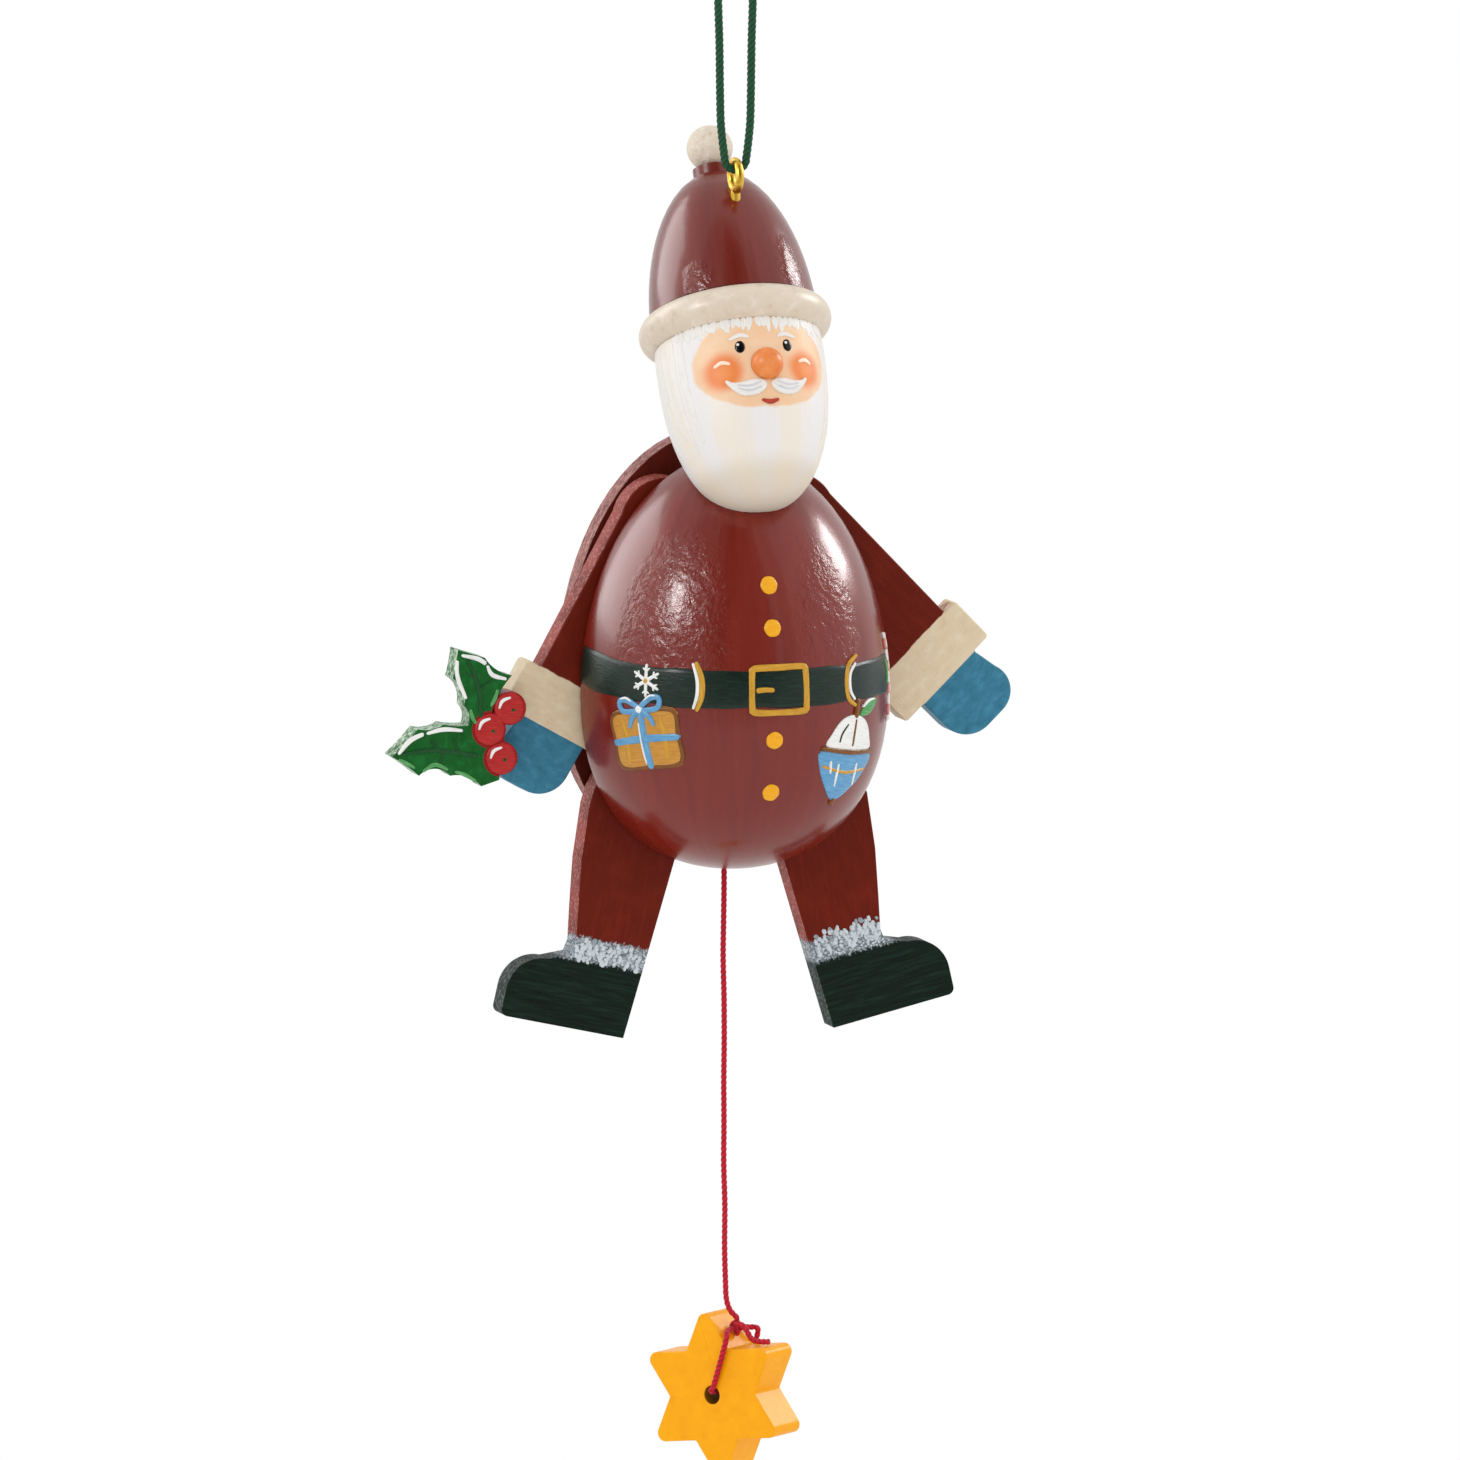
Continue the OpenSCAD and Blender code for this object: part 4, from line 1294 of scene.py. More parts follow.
def oval(x: float, y: float, half_x: float, half_y: float, count: int = 28) -> np.ndarray:
    """The outline of an upright ellipse on a canvas: its middle and half sizes."""
    a = np.linspace(0, 2 * np.pi, count, endpoint=False)
    return np.stack([x + half_x * np.cos(a), y + half_y * np.sin(a)], axis=1)


@dataclass
class Brushwork:
    """Strokes and spots of thick paint on one body, gathered into one mesh for each colour.

    Attributes:
        name: Start of the pieces' names.
        body: The body they ride on.
        slot: The record's material slot.
        canvas: What the next strokes and spots lie on.
        coats: The mesh of each colour so far.
        laid: How many strokes and spots have been laid.
    """

    name: str
    body: str
    slot: str
    canvas: Canvas
    coats: dict[str, Surface] = field(default_factory=dict)
    laid: int = 0

    def _coat(self, colour_name: str) -> tuple[Surface, np.ndarray]:
        """A colour's mesh, and where on its map the next stroke or spot starts."""
        self.laid += 1
        return self.coats.setdefault(colour_name, Surface()), self.laid * MAP_STEP

    def stroke(
        self, colour_name: str, height: float, *route: Triple | np.ndarray,
        closed: bool = False, rings: int = 22, blunt: bool = False,
    ) -> None:
        """One stroke of the brush: a low ribbon with rounded edges and ends, sunk a little.

        Across the stroke the paint's height is the full one times the root of the cosine of an
        angle that runs from -90 to 90 degrees, whose sine is the place across.

        Args:
            colour_name: Its colour.
            height: Thickness of the paint in mm.
            route: Its middle line as points (flat place, flat place, half width in mm).
            closed: Whether it joins its own start.
            rings: Number of sections.
            blunt: Whether its ends are cut square.
        """
        tapered = not closed and not blunt
        fine = smooth_line(route, 12 * rings, closed)
        share = np.linspace(0, 1, rings, endpoint=not closed)
        if tapered:
            share = (1 - np.cos(np.pi * share)) / 2
        line = fine[np.round(share * (len(fine) - 1)).astype(int)]
        middle, normal = self.canvas.at(line[:, :2])
        side = unit(np.cross(directions(middle, closed), normal))
        gone, half, full = distances(middle), line[:, 2], np.ones(len(line))
        if tapered:
            near = np.minimum(gone, gone[-1] - gone) / np.maximum(half, 0.05)
            full = np.sqrt(np.clip(1 - (1 - np.clip(near, 0, 1)) ** 2, 0.02, 1))
        place = np.concatenate([np.sin(STROKE_ANGLES), STROKE_FLOOR])
        lift = np.concatenate([[0], np.sqrt(np.cos(STROKE_ANGLES[1:-1])), [0, 0, 0]])
        spread = middle[:, None, :] + side[:, None, :] * (place * (half * full)[:, None])[..., None]
        on, out = self.canvas.at(self.canvas.flat(spread))
        rise = lift * (height * full)[:, None] - SINK * (lift == 0)
        across = place * half[:, None]
        uv = np.stack([across, gone[:, None] + 0 * across], axis=-1)
        coat, start = self._coat(colour_name)
        coat.add_rings(on + out * rise[..., None], uv + start, closed)

    def spot(self, colour_name: str, outline: np.ndarray, height: float, dome: float) -> None:
        """One closed spot of paint, with its edge sunk a little.

        Towards the middle the outline shrinks by a share s, and the height is the full one times
        the root of 1 - s^dome.

        Args:
            colour_name: Its colour.
            outline: The outline's flat points.
            height: Thickness of the paint in mm.
            dome: 2 for a round dome, more for a flat top.
        """
        middle = outline.mean(axis=0)
        on, out = self.canvas.at(middle + (outline - middle) * SPOT_SHARES[:, None, None])
        rise = height * np.sqrt(1 - SPOT_SHARES**dome) - SINK * (SPOT_SHARES == 1)
        rings = on + out * rise[:, None, None]
        centre, up = (found[0] for found in self.canvas.at(middle[None, :]))
        if np.dot(np.cross(rings[0], np.roll(rings[0], -1, axis=0)).sum(axis=0), up) < 0:
            rings = rings[:, ::-1]
        rows, cols = rings.shape[:2]
        points = np.vstack([rings.reshape(-1, 3), centre + up * height, centre - up * SINK])
        top, low, last = rows * cols, rows * cols + 1, (rows - 1) * cols
        faces = grid_faces(rows, cols)
        faces += [[last + k, last + (k + 1) % cols, top] for k in range(cols)]
        faces += [[(k + 1) % cols, k, low] for k in range(cols)]
        one = unit(np.cross(up, (0.1, 0.2, 1.0)))
        uv = (points - centre) @ np.stack([np.cross(up, one), one], axis=1)
        coat, start = self._coat(colour_name)
        coat.add(points, faces, uv + start)

    def make(self, paints: Paints) -> None:
        """Makes one piece for each colour."""
        for key, coat in self.coats.items():
            coat.make(f"{self.name}_{key}", self.body, paints[key], self.slot)


# Pieces that keep their CAD shape.

# Angles in degrees, above which an edge stays an edge and below which a facet is merged.
SHARP_EDGE, FLAT_EDGE = 32.0, 0.5


def smooth_copy(
    node: str, name: str, body: str, material: Material, slot: str, bevel: float = 0.0
) -> None:
    """Makes a merged copy of a CAD node, smooth across its small facets and rounded along its edges.

    Args:
        node: The CAD node that it stands for.
        name: The piece's name.
        body: The body that it moves with.
        material: Its finish.
        slot: The record's material slot.
        bevel: Radius of its rounded edges in millimetres, or 0 to leave them.
    """
    mesh = frame["nodes"][node].data.copy()
    mesh.name = name
    mesh.materials.clear()
    mesh.materials.append(material)
    work = bmesh.new()
    work.from_mesh(mesh)
    bmesh.ops.remove_doubles(work, verts=work.verts, dist=1e-6)
    if bevel:
        bmesh.ops.dissolve_limit(work, angle_limit=math.radians(FLAT_EDGE), verts=work.verts, edges=work.edges)
    limit = math.radians(SHARP_EDGE)
    for edge in work.edges:
        edge.smooth = len(edge.link_faces) == 2 and edge.calc_face_angle(0.0) < limit
    for face in work.faces:
        face.smooth = True
    work.to_mesh(mesh)
    work.free()
    if mesh.has_custom_normals:
        mesh.attributes.remove(mesh.attributes["custom_normal"])
    thing = add_object(name, mesh)
    if bevel:
        rounding = thing.modifiers.new("rounded_edges", "BEVEL")
        rounding.width, rounding.segments, rounding.harden_normals = bevel * MM, 3, True
        rounding.limit_method, rounding.angle_limit = "ANGLE", limit
    join_frame(thing, body, slot, node)


# Cords and threads.


def declare_cord(cord: Object, line: np.ndarray, size: Pair, pieces: list[Object]) -> None:
    """Tells the frame that a piece is a free cord, held taut, that ends in a knot.

    Args:
        cord: The piece.
        line: The points that it follows, in the drawing frame.
        size: Its length and diameter in millimetres.
        pieces: The separate pieces on it.
    """
    path = row_frame(line)
    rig.cord(
        cord, exit=tuple(path[0]), length=size[0] * MM, diameter=size[1] * MM, far_end="knot",
        stiffness="limp", lay="taut", path=path.tolist(), with_pieces=pieces,
    )


@dataclass
class HangingCord:
    """The green cord: up from its knot, through the screw eye and back, laid from three strands.

    Attributes:
        diameter: The cord's diameter.
        lay: Length in which a strand goes once round.
        length: Its whole length from knot to knot.
        half: Places of the right strand from the knot down, as (x, height).
        bend_height: Height of the middle of the bend in the eye.
        bend_radius: Radius of the bend.
        plane: Place of the whole loop from front to back.
        knot_base: Height of the lower end of the knot.
        knot_rise: Height of the knot with its cut ends.
        knot_reach: How far from its middle a strand lies at the knot's ends, and how much further
            at its widest.
        knot_turns: How often each strand goes round in it.
        tail_lean: How far the cut ends lean apart.
    """

    diameter: float = 1.2
    lay: float = 2.4
    length: float = 75.0
    half: tuple[Pair, ...] = (
        (0.85, 107.6), (0.85, 107.0), (1.5, 105.2), (2.1, 103.4), (2.5, 100.5), (2.6, 97.0),
        (2.4, 90.0), (2.3, 83.0), (2.15, 78.0),
    )
    bend_height: float = 73.33
    bend_radius: float = 1.6
    plane: float = -2.1
    knot_base: float = 107.55
    knot_rise: float = 7.3
    knot_reach: Pair = (0.85, 0.6)
    knot_turns: float = 1.5
    tail_lean: float = 0.6

    def route(self) -> list[Triple]:
        """Down the right strand, round under the eye and up the left one."""
        right = [(x, self.plane, z) for x, z in self.half]
        r, low = self.bend_radius, self.bend_height
        turns = [math.radians(a) for a in range(0, 181, 30)]
        bend = [(r * math.cos(a), self.plane, low - r * math.sin(a)) for a in turns]
        return right + bend + [(-x, y, z) for x, y, z in reversed(right)]

    def build(self, finish: Material) -> None:
        surface = Surface()
        surface.add_cord(smooth_line(self.route(), 520), self.diameter, self.lay, strands=3, sides=30)
        cord = surface.make("green_cord", "figure", finish, "cord_green", "hanging_cord")
        declare_cord(cord, smooth_line(self.route(), 60), (self.length, self.diameter), [self.knot(finish)])

    def knot(self, finish: Material) -> Object:
        """Both strands wound round each other in a tight barrel, with their cut ends above.

        Each strand's centreline climbs a helix whose radius grows from the strand's place to the
        barrel's and back into the tail, half a turn behind the other strand.
        """
        surface = Surface()
        t = np.linspace(0, 1, 150)
        swell = np.sin(np.pi * np.clip(t / 0.72, 0, 1)) ** 0.5
        reach = self.knot_reach[0] + self.knot_reach[1] * swell
        for start, way in ((0.0, Side.LEFT), (math.pi, Side.RIGHT)):
            turn = start + 2 * math.pi * self.knot_turns * np.clip((t - 0.06) / 0.62, 0, 1)
            x = reach * np.cos(turn) + self.tail_lean * np.clip((t - 0.7) / 0.3, 0, 1) * way.value
            z = self.knot_base + 0.3 * np.sin(turn) * swell + self.knot_rise * t**1.25
            line = np.stack([x, self.plane + reach * np.sin(turn), z], axis=1)
            surface.add_cord(line, self.diameter, self.lay, (0.3, 1.0, 0.1), strands=3, sides=24)
        return surface.make("green_cord_knot", "figure", finish, "cord_green", "hanging_knot")


@dataclass
class PullString:
    """The red string from the slot down to the star, with its knot, tail and loop.

    Attributes:
        diameter: The string's diameter.
        lay: Length in which a strand goes once round.
        length: Its whole length down to the knot.
        route: Places of its centreline in the drawing frame, from the slot down.
        knot_place: Middle of the knot on the star's axes.
        tail: Places of the tail on the star's axes.
        front: Places of the loop's front on the star's axes, from the knot down to the hole.
    """

    diameter: float = 0.85
    lay: float = 1.6
    length: float = 65.0
    route: tuple[Triple, ...] = (
        (0.0, 3.3, -29.0), (0.0, 3.3, -32.0), (-0.1, 3.2, -37.0), (-0.2, 3.1, -42.0),
        (-0.1, 3.0, -48.0), (-0.1, 2.9, -54.0), (-0.2, 2.8, -60.0), (-0.2, 2.7, -66.0),
        (-0.3, 2.5, -72.0), (-0.2, 2.3, -78.0), (-0.3, 2.1, -84.0), (-0.2, 2.0, -89.0),
        (-0.1, 1.9, -91.5), (0.4, 1.8, -93.2), (1.29, 1.58, -94.25), (1.39, 1.58, -94.85),
    )
    knot_place: Triple = (2.15, 0.0, 9.65)
    tail: tuple[Triple, ...] = (
        (2.15, 0.0, 9.65), (3.1, 0.4, 10.2), (4.1, 0.5, 9.6), (5.3, 0.8, 8.4), (6.6, 0.8, 8.15),
        (8.3, 0.7, 8.25),
    )
    front: tuple[Triple, ...] = (
        (1.8, 0.9, 9.5), (2.3, 2.75, 9.3), (3.1, 3.85, 8.9), (2.25, 3.85, 6.0), (0.7, 3.75, 1.5),
        (0.15, 3.65, 0.75), (0.0, 2.45, 0.4),
    )

    def build(self, finish: Material) -> None:
        surface = Surface()
        surface.add_cord(smooth_line(self.route, 420), self.diameter, self.lay, sides=20, groove=0.24)
        string = surface.make("red_string", "pull", finish, "thread_red", "pull_string")
        pieces = [self.knot(finish), self.loop(finish)]
        declare_cord(string, smooth_line(self.route, 50), (self.length, self.diameter), pieces)

    def knot(self, finish: Material) -> Object:
        """An overhand knot and its tail."""
        surface = Surface()
        coil = STAR.point(three_lobes(0.3, 200)[:, [0, 2, 1]] + np.array(self.knot_place))
        surface.add_cord(coil, self.diameter * 0.85, self.lay, UPWARDS, closed=True)
        surface.add_cord(smooth_line(STAR.point(self.tail), 90), self.diameter, self.lay, (0.0, 1.0, 0.3))
        return surface.make("red_string_knot", "pull", finish, "thread_red", "pull_knot")

    def loop(self, finish: Material) -> Object:
        """The string from the knot down the star's front, through its hole and up its back."""
        back = tuple((x, -y, z) for x, y, z in reversed(self.front))
        surface = Surface()
        line = smooth_line(STAR.point(self.front + ((0.0, 0.0, 0.4),) + back), 220)
        surface.add_cord(line, self.diameter, self.lay, STAR.across)
        return surface.make("red_string_loop", "pull", finish, "thread_red", "star_loop")


@dataclass
class SlotThreads:
    """The draw string inside the slot and the two closed threads from lever to lever.

    Attributes:
        thread: The threads' diameter.
        string: The draw string's diameter.
        lay: Length in which a thread's strand goes once round, and the same for the string.
        exit: Height where the draw string leaves the slot.
        drop: How far below the lower lever hole a thread meets the draw string.
        walls: Places from front to back between which a thread goes through a lever.
        links: Each thread's name, and the places of its two lever holes as (x, height).
    """

    thread: float = 0.5
    string: float = 0.85
    lay: Pair = (1.1, 1.6)
    exit: float = -29.0
    drop: float = 3.4
    walls: Pair = (0.65, 5.95)
    links: tuple[tuple[str, Pair, Pair], ...] = (
        ("arm_link_thread", (-5.436, 25.413), (4.448, 24.237)),
        ("leg_link_thread", (-4.474, -8.174), (4.474, -8.174)),
    )

    def route(self, left: Pair, right: Pair, low: float) -> list[Triple]:
        """Through both levers, and before and behind the draw string at its lowest height."""
        near, far = self.walls
        off = self.string / 2 + self.thread / 2 + 0.02
        route = [(0.0, SLOT_MIDDLE - off, low)]
        for (x, z), start, end in ((left, near, far), (right, far, near)):
            half = low + 0.45 * (z - low)
            route += [(0.45 * x, start, half), (0.9 * x, start, z - 0.2), (x, start + 0.15 * (end - start), z)]
            route += [(x, start + 0.85 * (end - start), z), (0.9 * x, end, z - 0.2), (0.45 * x, end, half)]
            if end == far:
                route.append((0.0, SLOT_MIDDLE + off, low))
        return route

    def build(self, finish: Material) -> None:
        """Makes the two threads, and the draw string with a small knot above each."""
        lows = []
        for name, left, right in self.links:
            lows.append(min(left[1], right[1]) - self.drop)
            surface = Surface()
            line = smooth_line(self.route(left, right, lows[-1]), 260, closed=True)
            surface.add_cord(line, self.thread, self.lay[0], UPWARDS, sides=12, closed=True)
            surface.make(name + "_yarn", "pull", finish, "thread_red", name)
        surface = Surface()
        heights = np.linspace(self.exit, lows[0] + 3.0, 240)
        line = np.stack([0 * heights, SLOT_MIDDLE + 0 * heights, heights], axis=1)
        surface.add_cord(line, self.string, self.lay[1])
        for low in lows:
            knot = three_lobes(0.2, 90) + np.array([0.0, SLOT_MIDDLE, low + self.thread / 2 + 0.9])
            surface.add_cord(knot, 0.42, self.lay[0], UPWARDS, sides=10, closed=True)
        surface.make("draw_string_yarn", "pull", finish, "thread_red", "draw_string")


# Painted details.


def sided(side: Side, *route: Triple) -> list[Triple]:
    """The points of a stroke, as written for the right side, on either side."""
    return [(side.value * x, y, half) for x, y, half in route]


@dataclass
class BeltAndButtons:
    """The painted belt with its buckle and loops, and the buttons down the front.

    Attributes:
        buttons: Heights of the buttons.
        button_radius: Their radius.
        crystal_reach: Half the length of the crystal's crossing strokes.
        twist_ends: Heights of the ends of the twisted cord.
    """

    buttons: tuple[float, ...] = (14.4, 8.5, -7.4, -15.1)
    button_radius: float = 1.25
    crystal_reach: float = 2.4
    twist_ends: Pair = (5.6, -7.2)

    def build(self, paints: Paints) -> None:
        """Lays the belt first and everything else over it."""
        brush = Brushwork("belt", "figure", "body_paint", BODY_EGG)
        turns = np.linspace(-89.2, 89.2, 40)
        middle = -0.05 + 0.00036 * np.minimum(turns + 20, 0) ** 2
        half = 2.75 + 0.1 * np.sin(turns / 7.0) + 0.07 * np.sin(turns / 3.1 + 1.0)
        brush.stroke("belt_green", 0.16, *np.stack([turns, middle, half], axis=1), rings=160, blunt=True)
        for height in self.buttons:
            self.button(brush, height)
        brush.canvas = BODY_EGG
        self.buckle_and_loops(brush)
        brush.canvas = Spot(BODY_EGG, (-50.0, 0.8))
        self.crystal(brush)
        brush.canvas = BODY_EGG
        self.twist(brush)
        brush.make(paints)

    def button(self, brush: Brushwork, height: float) -> None:
        """One round button, a little uneven at its edge."""
        brush.canvas = Spot(BODY_EGG, (-1.5, height))
        edge = oval(0.0, 0.0, self.button_radius, self.button_radius)
        uneven = 1 + 0.02 * np.sin(np.arange(len(edge)) * 1.3 + height)
        brush.spot("yellow", edge * uneven[:, None], 0.4, 3.2)

    def buckle_and_loops(self, brush: Brushwork) -> None:
        """A square frame of one closed stroke, its prong, and a loop with a pale edge each side."""
        brush.stroke(
            "ochre", 0.34, (-9.9, -2.6, 0.48), (-8.8, -3.3, 0.5), (0.0, -3.4, 0.44), (9.6, -3.3, 0.5),
            (10.6, -2.6, 0.5), (10.7, -0.1, 0.46), (10.5, 2.4, 0.5), (9.5, 3.0, 0.46), (0.0, 3.0, 0.5),
            (-8.8, 2.9, 0.5), (-9.9, 2.2, 0.48), (-10.0, -0.2, 0.44), closed=True, rings=90,
        )
        brush.stroke("ochre", 0.36, (-8.6, -0.2, 0.42), (-5.0, -0.1, 0.38), (-1.6, -0.2, 0.32))
        left = (-30.6, 3.9, 0.28), (-28.3, 1.6, 0.42), (-28.2, -1.0, 0.42), (-30.2, -3.2, 0.28)
        left_edge = (-31.7, 3.7, 0.2), (-29.9, 1.3, 0.27), (-29.9, -0.9, 0.27), (-31.4, -2.9, 0.2)
        right = (36.0, 3.8, 0.26), (30.6, 2.4, 0.36), (29.0, 0.0, 0.42), (30.0, -2.2, 0.36), (34.4, -3.5, 0.26)
        right_edge = (34.8, 2.7, 0.2), (31.2, 1.2, 0.27), (31.0, -1.1, 0.27), (33.6, -2.6, 0.2)
        for loop, edge in ((left, left_edge), (right, right_edge)):
            brush.stroke("ochre", 0.32, *loop)
            brush.stroke("white", 0.32, *edge)

    def crystal(self, brush: Brushwork) -> None:
        """A small snow crystal: three crossing strokes with short barbs, and a warm middle."""
        reach = self.crystal_reach
        for angle in (90, 30, 150):
            c, s = cos_sin(angle)
            ends = (-reach * c, -reach * s, 0.2), (reach * c, reach * s, 0.2)
            brush.stroke("white", 0.32, ends[0], (0.0, 0.0, 0.3), ends[1], rings=14)
            for end, lean in product((-1, 1), (-50, 50)):
                (u, v), x, y = cos_sin(angle + lean), 1.35 * end * c, 1.35 * end * s
                tip = (x + 0.75 * end * u, y + 0.75 * end * v, 0.14)
                brush.stroke("white", 0.3, (x, y, 0.16), tip, rings=8)
        brush.spot("ochre", oval(0.0, 0.0, 0.5, 0.5, 16), 0.42, 2.2)

    def twist(self, brush: Brushwork) -> None:
        """A thin twisted cord that hangs over the belt: a white and a pink line that cross."""
        height = np.linspace(*self.twist_ends, 26)
        for key, phase in (("white", 0.0), ("pink", math.pi)):
            turn = 64.5 + 0.16 * (self.twist_ends[0] - height) + 1.1 * np.sin(height * 2.0 + phase)
            brush.stroke(key, 0.34, *np.stack([turn, height, 0.26 + 0 * height], axis=1), rings=60)
        brush.stroke("leaf_light", 0.34, (60.0, 1.9, 0.25), (62.0, 0.2, 0.35), (61.0, -1.6, 0.25))


@dataclass
class CoatPictures:
    """The small toys painted on the skirt of the coat: a tied parcel and a spinning top.

    Attributes:
        parcel_at: Where the parcel is.
        top_at: Where the spinning top is.
        sprig_at: Where the leaf above it is.
    """

    parcel_at: Canvas = Spot(BODY_EGG, (-51.0, -7.4), 9.0, 1.18)
    top_at: Canvas = Spot(BODY_EGG, (32.5, -10.4), -8.0, 1.12)
    sprig_at: Canvas = Spot(BODY_EGG, (43.0, -3.9), 12.0)

    def build(self, paints: Paints) -> None:
        """Lays the pictures one after the other."""
        brush = Brushwork("coat_picture", "figure", "body_paint", self.parcel_at)
        self.parcel(brush)
        brush.canvas = self.top_at
        self.spinning_top(brush)
        brush.canvas = self.sprig_at
        leaf = [(-2.6, -0.5), (0.0, -1.1), (2.5, 0.2), (0.2, 1.0)]
        brush.spot("leaf_light", smooth_line(leaf, 28, True), 0.26, 4.0)
        brush.stroke("white", 0.4, (-1.9, 0.5, 0.14), (-0.2, 0.9, 0.22), (1.4, 0.7, 0.14))
        brush.make(paints)

    def parcel(self, brush: Brushwork) -> None:
        """A square parcel with a darker edge, a ribbon each way and a bow on top."""
        box = [(-4.6, -3.6), (0.0, -3.9), (4.4, -3.7), (4.9, 0.0), (4.7, 3.2), (0.2, 3.5), (-4.7, 3.3)]
        box.append((-4.9, -0.2))
        brush.spot("parcel", smooth_line(box, 40, True), 0.16, 14.0)
        brush.stroke(
            "umber", 0.24, (-4.4, -3.3, 0.32), (0.0, -3.6, 0.3), (4.2, -3.4, 0.32), (4.6, 0.0, 0.3),
            (4.4, 2.9, 0.32), (0.0, 3.2, 0.3), (-4.4, 3.0, 0.32), (-4.6, 0.0, 0.3), closed=True, rings=70,
        )
        for x in (-2.9, 2.6):
            brush.stroke("ochre", 0.24, (x, -2.9, 0.3), (x + 0.3, 0.2, 0.42), (x, 2.5, 0.3))
        brush.stroke("sky", 0.34, (0.1, -3.9, 0.55), (0.0, 0.0, 0.62), (0.1, 3.6, 0.55))
        brush.stroke("sky", 0.34, (-4.9, -0.3, 0.5), (0.0, -0.1, 0.58), (4.9, -0.3, 0.5))
        for side in Side:
            bow = (0.0, 3.5, 0.4), (1.7, 4.7, 0.45), (2.9, 4.6, 0.42), (2.6, 3.5, 0.42), (1.1, 3.3, 0.42)
            brush.stroke("sky", 0.42, *sided(side, *bow), closed=True, rings=40)
            brush.stroke("sky", 0.46, *sided(side, (0.2, 3.4, 0.4), (1.3, 2.4, 0.42), (1.8, 1.3, 0.25)))
            light = sided(side, (0.9, 4.5, 0.12), (1.8, 5.0, 0.18), (2.6, 4.9, 0.12))
            brush.stroke("white", 0.52, *light, rings=10)
        brush.spot("white", oval(0.0, 3.5, 0.62, 0.55, 18), 0.56, 2.4)
        brush.stroke("white", 0.42, (-0.35, -3.2, 0.12), (-0.42, -1.4, 0.17), (-0.36, 1.9, 0.12))

    def spinning_top(self, brush: Brushwork) -> None:
        """A top with a white domed lid, a brown stick and rim, and a blue bowl on a point."""
        lid = [(-4.0, 0.6), (4.0, 0.6), (3.9, 2.4), (2.4, 4.4), (0.0, 5.1), (-2.4, 4.4), (-3.9, 2.4)]
        brush.spot("white", smooth_line(lid, 36, True), 0.26, 9.0)
        bowl = [(-5.1, 0.2), (-4.6, -2.0), (-2.6, -4.4), (0.0, -6.1), (2.6, -4.4), (4.6, -2.0), (5.1, 0.2)]
        bowl.append((0.0, 0.35))
        brush.spot("sky", smooth_line(bowl, 40, True), 0.26, 9.0)
        brush.stroke("umber", 0.42, (-5.2, 0.5, 0.3), (0.0, 0.3, 0.42), (5.2, 0.6, 0.3))
        brush.stroke("umber", 0.4, (0.0, 4.6, 0.4), (0.0, 6.0, 0.42), (0.1, 7.2, 0.5))
        brush.stroke("umber", 0.36, (0.1, 1.0, 0.22), (0.0, 2.8, 0.26), (0.0, 4.6, 0.2))
        for x, top, low in ((-3.2, -0.9, -2.6), (-1.7, -1.2, -4.2), (1.9, -1.0, -3.9)):
            brush.stroke("white", 0.38, (x, top, 0.2), (x + 0.25, (top + low) / 2, 0.28), (x + 0.6, low, 0.12))
        brush.stroke("belt_green", 0.36, (-2.5, 1.4, 0.16), (-2.3, 2.6, 0.2), (-1.4, 3.9, 0.14))
        brush.stroke("ochre", 0.36, (-4.4, -1.7, 0.2), (0.0, -2.3, 0.3), (4.4, -1.7, 0.2))
        brush.spot("umber", oval(0.0, -6.2, 0.45, 0.55, 16), 0.36, 3.0)


